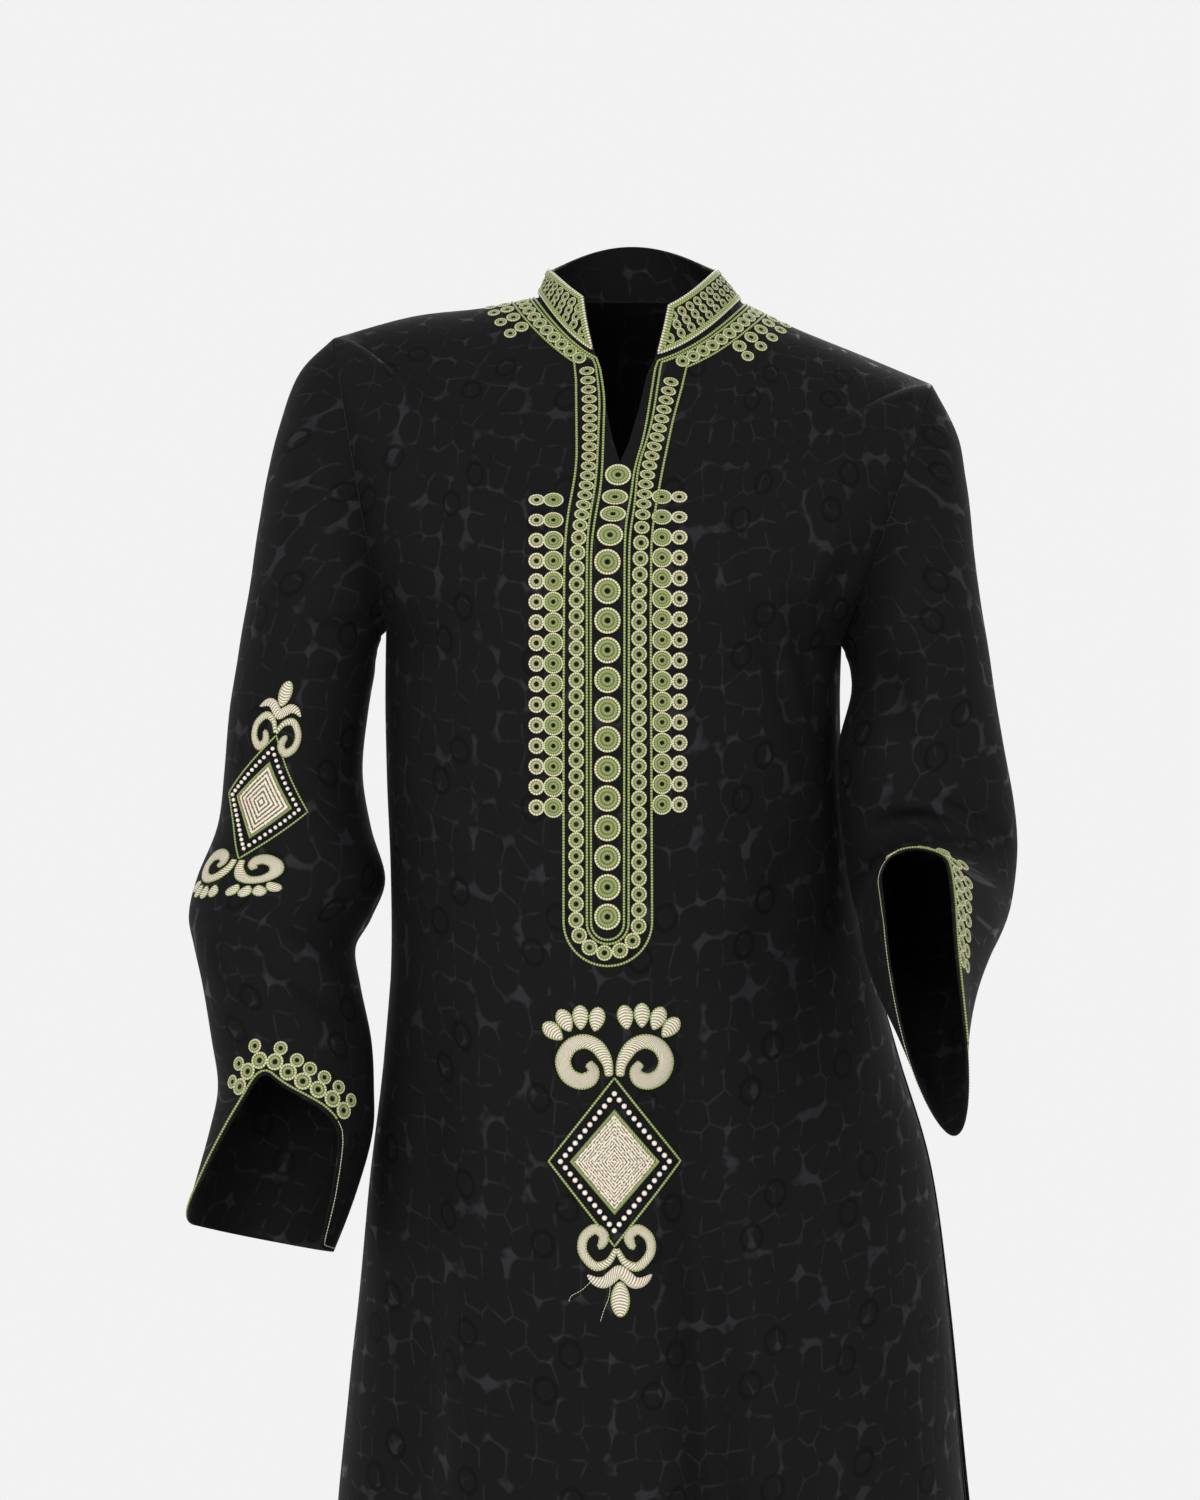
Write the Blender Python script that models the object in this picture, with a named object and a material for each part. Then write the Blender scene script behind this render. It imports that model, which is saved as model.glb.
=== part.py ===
"""Moroccan kaftan: black jacquard, a stand collar over a slit, bell cuffs and an A-line skirt.

Metres, +Z up. The front faces -Y and the wearer's right is at -X. The origin is the middle of the
neck's base, level with the shoulders. Every cloth piece is a wall lofted through sections.
"""

import math
from collections import namedtuple

import bpy
import numpy as np
from mathutils.bvhtree import BVHTree

NAME = "moroccan_kaftan"

# Wall thicknesses and the gaps between pieces
CLOTH = 0.0015
COLLAR_CLOTH = 0.0020
EMBROIDERY = 0.0010
SEAM_EASE = 0.0002
ARMHOLE_EASE = 0.0006
LIFT = 0.0007
SLEEVE_LIFT = 0.0003

# Side of the wearer, as the sign of X
RIGHT = -1
LEFT = 1

# Sections of a sleeve, from the armhole to the cuff. A section is an ellipse about (x, y, z): its
# width runs from the inner side to the outer side, its depth from back to front. tilt lifts the
# outer end, bend swings the front up as the arm bends forward, turn swings the forearm inwards and
# lean moves the back of the section outwards.
Ring = namedtuple("Ring", "x y z width depth tilt bend turn lean", defaults=(0,))
RIGHT_RINGS = (
    Ring(-0.2088, 0.000, -0.1305, 0.2222, 0.110, 80, 0, 0),
    Ring(-0.2230, 0.000, -0.1453, 0.2058, 0.122, 73, 0, 0),
    Ring(-0.2315, 0.000, -0.1683, 0.1748, 0.126, 64, 0, 0),
    Ring(-0.2365, 0.001, -0.1880, 0.1506, 0.126, 56, 0, 0),
    Ring(-0.2403, 0.002, -0.2082, 0.1288, 0.124, 46, 0, 0),
    Ring(-0.2440, 0.003, -0.2344, 0.1090, 0.120, 30, 0, 0),
    Ring(-0.2490, 0.004, -0.2655, 0.1032, 0.116, 12, 0, 0),
    Ring(-0.2548, 0.005, -0.3010, 0.1036, 0.115, 1, 0, 0),
    Ring(-0.2590, 0.006, -0.3450, 0.1030, 0.114, 0, 2, 0),
    Ring(-0.2585, 0.007, -0.3860, 0.1150, 0.120, 0, 5, 0),
    Ring(-0.2600, 0.006, -0.4240, 0.1400, 0.130, 0, 10, 0),
    Ring(-0.2680, 0.001, -0.4520, 0.1360, 0.130, 0, 14, 0),
    Ring(-0.2720, -0.005, -0.4740, 0.1200, 0.118, 0, 17, 0),
    Ring(-0.2665, -0.013, -0.5040, 0.1170, 0.112, 0, 18, 0),
    Ring(-0.2587, -0.024, -0.5435, 0.1184, 0.110, 0, 18, 0),
    Ring(-0.2545, -0.033, -0.5780, 0.1154, 0.112, 0, 17, 0),
    Ring(-0.2575, -0.040, -0.6100, 0.1200, 0.118, 0, 15, 0),
    Ring(-0.2690, -0.048, -0.6530, 0.1200, 0.128, 0, 12, 0),
    Ring(-0.2800, -0.055, -0.6860, 0.1100, 0.136, 11, 8, 0),
)
LEFT_RINGS = (
    Ring(0.1836, -0.004, -0.1530, 0.2054, 0.110, 71, 0, 0),
    Ring(0.1940, -0.006, -0.1740, 0.1808, 0.122, 62, 0, 0),
    Ring(0.1975, -0.009, -0.1930, 0.1570, 0.124, 55, 0, 0),
    Ring(0.2015, -0.013, -0.2220, 0.1260, 0.122, 42, 0, 0),
    Ring(0.2048, -0.018, -0.2485, 0.1085, 0.118, 26, 1, 0),
    Ring(0.2075, -0.030, -0.2785, 0.1055, 0.116, 9, 3, 0),
    Ring(0.2058, -0.046, -0.3235, 0.1215, 0.116, 2, 8, 0),
    Ring(0.2098, -0.052, -0.3660, 0.1275, 0.118, 0, 18, 2),
    Ring(0.2125, -0.058, -0.4000, 0.1270, 0.122, 0, 36, 5),
    Ring(0.2123, -0.070, -0.4260, 0.1205, 0.116, 0, 56, 8),
    Ring(0.2105, -0.092, -0.4420, 0.1090, 0.106, 0, 72, 10),
    Ring(0.2060, -0.122, -0.4520, 0.0990, 0.110, 0, 80, 11, 2),
    Ring(0.2000, -0.155, -0.4650, 0.0850, 0.134, 0, 84, 12, 5),
    Ring(0.1985, -0.192, -0.4820, 0.0620, 0.168, 0, 87, 12, 8),
    Ring(0.1975, -0.232, -0.4980, 0.0460, 0.198, 0, 90, 12, 11),
)
RINGS = {RIGHT: RIGHT_RINGS, LEFT: LEFT_RINGS}

# The cuff's notch over the back of the hand: how far its edge is set back from the hem, by the
# angle round the sleeve from its outer side towards its front
Notch = namedtuple("Notch", "angle setback")
NOTCH = (
    Notch(-60, 0.0),
    Notch(-15, 0.0),
    Notch(0, 0.010),
    Notch(20, 0.030),
    Notch(31, 0.048),
    Notch(45, 0.068),
    Notch(56, 0.088),
    Notch(67, 0.110),
    Notch(84, 0.094),
    Notch(100, 0.085),
    Notch(116, 0.077),
    Notch(130, 0.066),
    Notch(138, 0.055),
    Notch(145, 0.0),
    Notch(300, 0.0),
)
NOTCH_RINGS = 4.5

# Levels of the body. right and left are the shoulder seam's or the side seam's points, front and
# back the middle of each panel. From the shoulder's tip to the armpit the armholes are the edges.
Level = namedtuple("Level", "right_x right_z left_x left_z front_x front_y front_z back_x back_y back_z")
SHOULDER_LEVELS = (
    Level(-0.0757, 0.009, 0.0760, 0.005, -0.0116, -0.066, -0.045, 0.000, 0.062, 0.012),
    Level(-0.1180, 0.001, 0.1160, -0.014, -0.0135, -0.086, -0.081, -0.002, 0.090, -0.022),
    Level(-0.1700, -0.005, 0.1650, -0.034, -0.0155, -0.105, -0.120, -0.004, 0.105, -0.056),
)
Middle = namedtuple("Middle", "front_x front_y front_z back_x back_y back_z")
ARMHOLE_MIDDLES = (
    Middle(-0.0200, -0.115, -0.150, -0.006, 0.111, -0.087),
    Middle(-0.0230, -0.122, -0.177, -0.007, 0.115, -0.126),
    Middle(-0.0245, -0.127, -0.203, -0.008, 0.116, -0.165),
    Middle(-0.0245, -0.130, -0.229, -0.009, 0.114, -0.203),
    Middle(-0.0245, -0.131, -0.256, -0.010, 0.111, -0.239),
    Middle(-0.0245, -0.131, -0.285, -0.010, 0.108, -0.275),
)
SIDE_LEVELS = (
    Level(-0.1900, -0.290, 0.1490, -0.296, -0.0245, -0.129, -0.327, -0.010, 0.104, -0.320),
    Level(-0.1887, -0.348, 0.1510, -0.352, -0.0245, -0.126, -0.375, -0.010, 0.100, -0.372),
    Level(-0.1860, -0.418, 0.1590, -0.420, -0.0245, -0.124, -0.432, -0.009, 0.100, -0.430),
    Level(-0.1856, -0.490, 0.1750, -0.490, -0.0240, -0.125, -0.494, -0.006, 0.107, -0.492),
    Level(-0.1900, -0.560, 0.1930, -0.560, -0.0205, -0.129, -0.560, -0.003, 0.119, -0.560),
    Level(-0.1982, -0.640, 0.2160, -0.640, -0.0180, -0.136, -0.640, 0.002, 0.131, -0.640),
    Level(-0.2068, -0.740, 0.2290, -0.740, -0.0155, -0.146, -0.740, 0.006, 0.143, -0.740),
    Level(-0.2190, -0.870, 0.2400, -0.870, -0.0140, -0.159, -0.870, 0.009, 0.157, -0.870),
    Level(-0.2315, -1.030, 0.2550, -1.030, -0.0125, -0.174, -1.030, 0.011, 0.172, -1.030),
    Level(-0.2460, -1.205, 0.2730, -1.205, -0.0115, -0.189, -1.205, 0.013, 0.187, -1.205),
    Level(-0.2600, -1.380, 0.2915, -1.380, -0.0100, -0.203, -1.380, 0.015, 0.202, -1.380),
)
TIP = len(SHOULDER_LEVELS)
ARMPIT = TIP + len(ARMHOLE_MIDDLES) - 1
HEM = ARMPIT + len(SIDE_LEVELS)

# How far each panel's section turns from its middle to its end, level by level: a quarter turn at
# a seam over the shoulder or the side, and less where it ends at an armhole
SWEEPS = (90, 84, 74, 64, 56, 52, 53, 62, 82) + (90,) * len(SIDE_LEVELS)

# The neck slit, as half its width at each level from the neck seam to its foot
SLIT_HALF_WIDTHS = ((0.0, 0.0220), (0.43, 0.0160), (1.0, 0.0120), (1.6, 0.0058), (2.0, 0.0))

# Folds of the skirt: a trough from its head to the hem, deeper as it falls
Fold = namedtuple("Fold", "panel head_x head_z hem_x depth width")
FRONT = -1
BACK = 1
FOLDS = (
    Fold(FRONT, -0.1480, -0.500, -0.198, 0.026, 0.017),
    Fold(FRONT, 0.0240, -0.488, 0.098, 0.034, 0.016),
    Fold(FRONT, 0.1500, -0.720, 0.205, 0.016, 0.018),
    Fold(FRONT, -0.0700, -0.860, -0.085, 0.012, 0.020),
    Fold(BACK, -0.1250, -0.560, -0.180, 0.026, 0.018),
    Fold(BACK, -0.0300, -0.480, -0.050, 0.032, 0.018),
    Fold(BACK, 0.0750, -0.620, 0.110, 0.022, 0.017),
    Fold(BACK, 0.1500, -0.500, 0.215, 0.028, 0.018),
)
RIDGE_SHARE = 0.35
FOLD_WIDENING = 1.0

# The stand collar's upper edge, and the angle at which each of its front ends stands
Rim = namedtuple("Rim", "x width front_y back_y side_z front_z back_z")
COLLAR_RIM = Rim(-0.0055, 0.1240, -0.062, 0.056, 0.030, -0.008, 0.053)
COLLAR_END = {RIGHT: 36, LEFT: 24}
COLLAR_ROWS = 3
COLLAR_SWELL = 0.0015

# Embroidery on the front: half widths and heights about the garment's middle line
BAND_HALF_WIDTH = 0.0317
BAND_TOP = -0.0850
BAND_FOOT = -0.4836
BAND_COLUMNS = (0.0, 0.17, 0.34, 0.62, 1.0)
BAND_ARM_INSET = 0.0045
COIL_RADIUS = 0.0098
COIL_HEIGHT = 0.0014
COIL_PITCH = 0.0213
COIL_COUNT = 16
COIL_TOP = -0.1290
COIL_ROWS = 4
COMB_TOP = -0.1400
COMB_FOOT = -0.3800
COMB_INNER = 0.0330
COMB_WAIST = 0.0480
COMB_OUTER = 0.0560
COMB_TEETH = 16

# The lozenges: half widths and heights of the one on the front and of the one on each sleeve,
# with the places of their middles
LOZENGE_CELLS = 6
LOZENGE_CORE = 0.0010
FRONT_LOZENGE = (-0.0198, -0.6238, 0.0470, 0.0590)
SleeveLozenge = namedtuple("SleeveLozenge", "place angle turn half_width half_height")
SLEEVE_LOZENGES = {
    RIGHT: SleeveLozenge(8.60, 68, 12, 0.0363, 0.0460),
    LEFT: SleeveLozenge(6.60, -48, 0, 0.0363, 0.0460),
}

# The yoke: the levels of the panels that it covers, and its inset from the neck seam and slit
YOKE_ROWS = 3
YOKE_INSET = 0.0040

# Grid densities
FRONT_COLUMNS = 24
BACK_COLUMNS = 18
ROWS_BETWEEN = (2,) * TIP + (2,) * (ARMPIT - TIP) + (2, 2) + (1,) * (HEM - ARMPIT - 2)
SLEEVE_COLUMNS = 4 * (ARMPIT - TIP)

Finish = namedtuple("Finish", "name colour roughness")
JACQUARD = Finish("black_jacquard", (0.0115, 0.0105, 0.0115, 1), 0.62)
GREEN_THREAD = Finish("green_embroidery_thread", (0.262, 0.350, 0.105, 1), 0.5)
GOLD_THREAD = Finish("pale_gold_embroidery_thread", (0.597, 0.546, 0.370, 1), 0.42)


def unit(vectors):
    """The vectors along the last axis, each of length 1."""
    return vectors / np.linalg.norm(vectors, axis=-1, keepdims=True)


def through(table, place):
    """The table's columns at a fractional row, on a smooth curve through its rows."""
    values = np.asarray(table, float)
    place = np.clip(np.asarray(place, float), 0, len(values) - 1)
    start = np.minimum(place.astype(int), len(values) - 2)
    share = (place - start)[..., None]
    rows = [values[np.clip(start + step, 0, len(values) - 1)] for step in (-1, 0, 1, 2)]
    before, first, second, after = rows
    rise = (second - before) / 2
    fall = (after - first) / 2
    gap = second - first
    return first + share * (rise + share * (3 * gap - 2 * rise - fall + share * (rise + fall - 2 * gap)))


def sleeve_point(side, place, angle):
    """Points of a sleeve's outer face, at a place along its rings and an angle round them."""
    ring = np.moveaxis(through(RINGS[side], place), -1, 0)
    x, y, z, width, depth, tilt, bend, turn, lean = ring
    tilt, bend, turn = np.radians(tilt), np.radians(bend), np.radians(turn) * side
    across = width / 2 * np.cos(angle)
    forward = depth / 2 * np.sin(angle)
    level_x = (across * np.cos(tilt) - forward * np.tan(np.radians(lean))) * side
    level_y = -forward * np.cos(bend)
    return np.stack(
        (
            x + level_x * np.cos(turn) + level_y * np.sin(turn),
            y - level_x * np.sin(turn) + level_y * np.cos(turn),
            z + across * np.sin(tilt) + forward * np.sin(bend),
        ),
        axis=-1,
    )


def armhole_angle(place):
    """The angle round the armhole that a level of the body meets, 0 at the shoulder's tip."""
    return np.clip((place - TIP) / (ARMPIT - TIP), 0, 1) * math.pi


def section_sweep(place):
    """How far a panel's section turns from its middle to its end, in radians."""
    return np.radians(through(np.array(SWEEPS)[:, None], place)[..., 0])


def body_levels():
    """The levels' table, with the armholes' ends filled in from the sleeves."""
    chest = []
    for step, middle in enumerate(ARMHOLE_MIDDLES):
        angle = math.pi * step / (ARMPIT - TIP)
        right = sleeve_point(RIGHT, 0.0, angle)
        left = sleeve_point(LEFT, 0.0, angle)
        chest.append(Level(right[0], right[2], left[0], left[2], *middle))
    return SHOULDER_LEVELS + tuple(chest) + SIDE_LEVELS


def panel_edge(levels, place, panel, side):
    """The end of a panel's row: on the shoulder seam, on the armhole or on the side seam."""
    column = 0 if side == RIGHT else 2
    table = np.asarray(levels)
    head = through(table[: TIP + 1, column : column + 2], place)
    foot = through(table[ARMPIT:, column : column + 2], place - ARMPIT)
    middle = sleeve_point(side, np.zeros_like(place), -panel * armhole_angle(place))
    tip_y, armpit_y = (sleeve_point(side, 0.0, angle)[1] for angle in (0.0, math.pi))
    in_head = place <= TIP
    in_foot = place >= ARMPIT
    x = np.where(in_head, head[..., 0], np.where(in_foot, foot[..., 0], middle[..., 0]))
    z = np.where(in_head, head[..., 1], np.where(in_foot, foot[..., 1], middle[..., 2]))
    seam_y = np.where(in_head, tip_y * place / TIP, armpit_y * np.clip(ARMPIT + 3 - place, 0, 3) / 3)
    y = np.where(in_head | in_foot, seam_y, middle[..., 1])
    return np.stack((x, y, z), axis=-1)


def fold_depth(points, panel):
    """How far each point of a panel moves out of its plain form, troughs being negative."""
    out = np.zeros(points.shape[:-1])
    hem_z = SIDE_LEVELS[-1].front_z
    for fold in FOLDS:
        if fold.panel != panel:
            continue
        fall = np.clip((fold.head_z - points[..., 2]) / (fold.head_z - hem_z), 0, 1)
        width = fold.width * (1 + FOLD_WIDENING * fall)
        reach = (points[..., 0] - fold.head_x - (fold.hem_x - fold.head_x) * fall) / width
        trough = np.exp(-reach ** 2)
        ridges = np.exp(-(np.abs(reach) - 2) ** 2)
        out += fold.depth * np.sqrt(fall) * fall ** 0.25 * (RIDGE_SHARE * ridges - trough)
    return out


def body_point(levels, place, share, panel):
    """Points of a panel's outer face, at a level and a share of the way from its middle to its ends."""
    column = 4 if panel == FRONT else 7
    middle = through(np.asarray(levels)[:, column : column + 3], place)
    ends = np.where(
        (share < 0)[..., None],
        panel_edge(levels, place, panel, RIGHT),
        panel_edge(levels, place, panel, LEFT),
    )
    sweep = section_sweep(place)
    across = np.sin(sweep * np.abs(share)) / np.sin(sweep)
    forward = (np.cos(sweep * share) - np.cos(sweep)) / (1 - np.cos(sweep))
    upward = np.cos(math.pi / 2 * share) ** 2
    points = np.stack(
        (
            middle[..., 0] + (ends[..., 0] - middle[..., 0]) * across,
            ends[..., 1] + (middle[..., 1] - ends[..., 1]) * forward,
            ends[..., 2] + (middle[..., 2] - ends[..., 2]) * upward,
        ),
        axis=-1,
    )
    outward = points * (1, 1.6, 0)
    return points + unit(outward) * fold_depth(points, panel)[..., None]


def level_places():
    """The grid's levels, some of them between the table's rows."""
    places = [0.0]
    for row, count in enumerate(ROWS_BETWEEN):
        places += [row + (step + 1) / count for step in range(count)]
    return np.array(places)


def front_shares(levels, places, side):
    """The front's columns on one side of the slit, from its edge to the panel's end."""
    at, half_width = zip(*SLIT_HALF_WIDTHS)
    gap = np.interp(places, at, half_width)
    end = panel_edge(levels, places, FRONT, side)[..., 0]
    middle = through(np.asarray(levels)[:, 4:5], places)[..., 0]
    sweep = section_sweep(places)
    edge = np.arcsin(gap / np.abs(end - middle) * np.sin(sweep)) / sweep
    step = np.linspace(0, 1, FRONT_COLUMNS // 2 + 1)
    return side * (edge[:, None] + (1 - edge[:, None]) * step)


def front_grid(levels):
    """The front panel's outer points: the wearer's right half, then the left half."""
    places = level_places()
    halves = []
    for side in (RIGHT, LEFT):
        shares = front_shares(levels, places, side)
        if side == RIGHT:
            shares = shares[:, ::-1]
        signed = np.where(shares == 0, side * 1e-9, shares)
        halves.append(body_point(levels, places[:, None] + 0 * shares, signed, FRONT))
    return np.concatenate(halves, axis=1)


def back_grid(levels):
    """The back panel's outer points, from the wearer's left to the right."""
    places = level_places()
    shares = np.linspace(1, -1, BACK_COLUMNS + 1)
    return body_point(levels, *np.meshgrid(places, shares, indexing="ij"), BACK)


def notch_setback(angle):
    """How far the cuff's edge is set back at an angle round the sleeve."""
    turned = (np.degrees(angle) + 60) % 360 - 60
    return np.interp(turned, [row.angle for row in NOTCH], [row.setback for row in NOTCH])


def sleeve_grid(side):
    """A sleeve's outer points, a row for each ring from the armhole to the cuff's edge."""
    last = len(RINGS[side]) - 1
    angles = -side * 2 * math.pi * np.arange(SLEEVE_COLUMNS) / SLEEVE_COLUMNS
    ends = sleeve_point(side, np.array([last - 1.0, float(last)])[:, None], angles)
    ring_length = np.linalg.norm(ends[1] - ends[0], axis=-1).mean()
    setback = notch_setback(angles) / ring_length
    places = np.arange(last + 1.0)[:, None] + 0 * angles
    ramp = np.clip((places - last + NOTCH_RINGS) / NOTCH_RINGS, 0, 1) ** 1.5
    return sleeve_point(side, places - ramp * setback, angles + 0 * places)


def collar_grid(front, back):
    """The collar's outer points, rows rising from the neck seam, columns from end to end."""
    half = FRONT_COLUMNS // 2
    base = np.concatenate((front[0, half::-1][:-1], back[0, ::-1], front[0, half + 1 :][::-1][1:]))
    rim = []
    for side, order in ((RIGHT, 1), (LEFT, -1)):
        angles = np.radians(np.linspace(COLLAR_END[side], 90, half + 1))
        angles = side * angles[:-1]
        rim.append(angles[::order])
    turn = np.linspace(-math.pi / 2, math.pi / 2, BACK_COLUMNS + 1)
    low, high = COLLAR_RIM.front_z, COLLAR_RIM.back_z
    x = COLLAR_RIM.x + COLLAR_RIM.width / 2 * np.sin(np.concatenate((rim[0], turn, rim[1])))
    facing = np.cos(np.concatenate((rim[0], turn, rim[1])))
    in_back = np.concatenate((rim[0] * 0, turn * 0 + 1, rim[1] * 0))
    y = facing * np.where(in_back > 0, COLLAR_RIM.back_y, COLLAR_RIM.front_y)
    z = COLLAR_RIM.side_z + facing ** 2 * (np.where(in_back > 0, high, low) - COLLAR_RIM.side_z)
    top = np.stack((x, y, z), axis=-1)
    rows = []
    for rise in np.linspace(0, 1, COLLAR_ROWS + 1):
        row = base + (top - base) * rise
        swell = COLLAR_SWELL * math.sin(math.pi * rise)
        rows.append(row + unit(row * (1, 1, 0)) * swell)
    return np.array(rows)


def outward(grid, ring=False):
    """The outward normal at each of a grid's points."""
    if ring:
        along = np.roll(grid, -1, axis=1) - np.roll(grid, 1, axis=1)
    else:
        along = np.gradient(grid, axis=1)
    down = np.gradient(grid, axis=0)
    return unit(np.cross(down, along))


def split_normals(grid):
    """The front panel's normals, found on each side of the slit by itself."""
    half = FRONT_COLUMNS // 2 + 1
    return np.concatenate((outward(grid[:, :half]), outward(grid[:, half:])), axis=1)


def place_key(point):
    """A name for a point's place to the micron, the same for points that lie on each other."""
    return tuple(np.floor(point * 1e6 + 0.37).astype(int))


def armhole_normals(sleeves):
    """The directions in which the armholes' edges are thick: square to the edge, in its own plane."""
    fixed = {}
    for side, grid in sleeves.items():
        centre = sleeve_point(side, 0.0, 0.0) / 2 + sleeve_point(side, 0.0, math.pi) / 2
        half_width = sleeve_point(side, 0.0, 0.0) - centre
        half_depth = sleeve_point(side, 0.0, math.pi / 2) - centre
        for point in grid[0]:
            across = np.dot(point - centre, half_width) / np.dot(half_width, half_width) ** 2
            forward = np.dot(point - centre, half_depth) / np.dot(half_depth, half_depth) ** 2
            fixed[place_key(point)] = unit(across * half_width + forward * half_depth)
    return fixed


def share_normals(pieces, fixed):
    """Gives points that lie on each other one normal, fixed or their mean, so walls meet edge to edge."""
    total = {}
    for grid, normals in pieces:
        for point, normal in zip(grid.reshape(-1, 3), normals.reshape(-1, 3)):
            key = place_key(point)
            total[key] = total.get(key, 0) + normal
    for grid, normals in pieces:
        flat = normals.reshape(-1, 3)
        for index, point in enumerate(grid.reshape(-1, 3)):
            key = place_key(point)
            flat[index] = fixed[key] if key in fixed else unit(total[key])


def ease(grid, amount, sides=False):
    """Draws a grid's first row back from its seam, and where sides is set its end columns too."""
    grid[0] += unit(grid[1] - grid[0]) * amount
    if sides:
        grid[:, 0] += unit(grid[:, 1] - grid[:, 0]) * amount
        grid[:, -1] += unit(grid[:, -2] - grid[:, -1]) * amount


def cells(rows, columns, ring=False, parted=None):
    """The triangles of a grid, but for the strip of cells after the parted column."""
    triangles = []
    for row in range(rows - 1):
        for column in range(columns if ring else columns - 1):
            if column == parted:
                continue
            beside = (column + 1) % columns
            a, b = row * columns + column, row * columns + beside
            c, d = a + columns, b + columns
            triangles += [(a, c, d), (a, d, b)]
    return triangles


def merged(points, triangles):
    """The triangles with each set of points that lie on each other made one."""
    first = {}
    same = [first.setdefault(place_key(point), index) for index, point in enumerate(points)]
    return [tuple(same[corner] for corner in triangle) for triangle in triangles]


def finish_material(finish):
    """The material of a finish, made once."""
    material = bpy.data.materials.get(finish.name)
    if material is None:
        material = bpy.data.materials.new(finish.name)
        material.use_nodes = True
        shader = material.node_tree.nodes["Principled BSDF"]
        shader.inputs["Base Color"].default_value = finish.colour
        shader.inputs["Roughness"].default_value = finish.roughness
        shader.inputs["Metallic"].default_value = 0.0
    return material


def wall(name, outer, inner, finish, collection, ring=False, parted=None):
    """A closed wall between two grids of points, with its rims along every free edge."""
    rows, columns = outer.shape[:2]
    points = np.concatenate((outer.reshape(-1, 3), inner.reshape(-1, 3)))
    count = rows * columns
    face = merged(points[:count], cells(rows, columns, ring, parted))
    edges = {(t[i], t[(i + 1) % 3]) for t in face for i in range(3)}
    rims = []
    for a, b in sorted(edges):
        if (b, a) not in edges:
            rims += [(b, a, a + count), (b, a + count, b + count)]
    lining = [(a + count, c + count, b + count) for a, b, c in face]
    triangles = face + lining + rims
    used = sorted({corner for triangle in triangles for corner in triangle})
    place = {corner: index for index, corner in enumerate(used)}
    mesh = bpy.data.meshes.new(name)
    mesh.from_pydata(
        [tuple(points[corner]) for corner in used],
        [],
        [tuple(place[corner] for corner in triangle) for triangle in triangles],
    )
    mesh.shade_smooth()
    mesh.set_sharp_from_angle(angle=math.radians(50))
    mesh.materials.append(finish_material(finish))
    piece = bpy.data.objects.new(name, mesh)
    collection.objects.link(piece)
    return BVHTree.FromPolygons([tuple(p) for p in points[:count]], face)


def applied(name, base, out, heights, finish, collection, **joins):
    """A thin piece that lies on the cloth: its points moved out, its face raised by the heights."""
    inner = base + out * LIFT
    outer = base + out * (LIFT + EMBROIDERY + heights[..., None])
    wall(name, outer, inner, finish, collection, **joins)


def on_front(surface, x, z):
    """The front panel's facet points behind the places x and z, as seen from the front."""
    hits = [surface.ray_cast((across, -1, up), (0, 1, 0))[0] for across, up in zip(x.flat, z.flat)]
    return np.array([tuple(hit) for hit in hits]).reshape(x.shape + (3,))


def middle_line(levels, z):
    """The front's middle line: its X at a height."""
    heights = np.asarray(levels)[::-1, 6]
    return np.interp(z, heights, np.asarray(levels)[::-1, 4])


def band_rows():
    """The heights of the placket band's rows: its arms, then a few to each coil, then its foot."""
    arms = np.linspace(BAND_TOP, SHOULDER_LEVELS[-1].front_z - 0.001, 5)
    coils = COIL_TOP - COIL_PITCH / COIL_ROWS * np.arange(COIL_ROWS * (COIL_COUNT - 1) + 1)
    foot = np.linspace(coils[-1], BAND_FOOT, 7)[1:]
    return np.concatenate((arms, coils, foot))


def placket_band(levels, surface, collection):
    """The embroidered band round the slit and down the middle, with a row of raised coils."""
    z = band_rows()
    at, gaps = zip(*SLIT_HALF_WIDTHS)
    place = np.interp(-z, [-level.front_z for level in SHOULDER_LEVELS], range(TIP), right=TIP)
    gap = np.interp(place, at, gaps)
    gap = np.where(gap > 0, gap + BAND_ARM_INSET, 0)
    round_end = np.clip((BAND_FOOT + BAND_HALF_WIDTH - z) / BAND_HALF_WIDTH, 0, 0.999)
    half = BAND_HALF_WIDTH * np.sqrt(1 - round_end ** 2)
    shares = np.array(BAND_COLUMNS)
    reach = gap[:, None] + (half - gap)[:, None] * shares
    middle = middle_line(levels, z)[:, None]
    x = np.concatenate((middle - reach[:, ::-1], middle + reach), axis=1)
    base = on_front(surface, x, z[:, None] + 0 * x)
    nearest = np.clip(np.round((COIL_TOP - z) / COIL_PITCH), 0, COIL_COUNT - 1)
    away = np.hypot(x - middle, (z - COIL_TOP + nearest * COIL_PITCH)[:, None]) / COIL_RADIUS
    heights = COIL_HEIGHT * np.sqrt(np.clip(1 - away ** 2, 0, 1))
    out = np.zeros_like(base) + (0, -1, 0)
    applied(
        "placket_embroidery", base, out, heights, GREEN_THREAD, collection, parted=len(shares) - 1
    )


def comb(name, side, levels, surface, collection):
    """A block of roundels beside the placket band, a row of teeth along its outer edge."""
    steps = np.arange(2 * COMB_TEETH + 1)
    z = COMB_TOP + (COMB_FOOT - COMB_TOP) * steps / steps[-1]
    edge = np.where(steps % 2 == 1, COMB_OUTER, COMB_WAIST)
    shares = np.linspace(0, 1, 4)[::side]
    x = middle_line(levels, z)[:, None] + side * (COMB_INNER + (edge - COMB_INNER)[:, None] * shares)
    base = on_front(surface, x, z[:, None] + 0 * x)
    out = np.zeros_like(base) + (0, -1, 0)
    applied(name, base, out, np.zeros(x.shape), GOLD_THREAD, collection)


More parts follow.
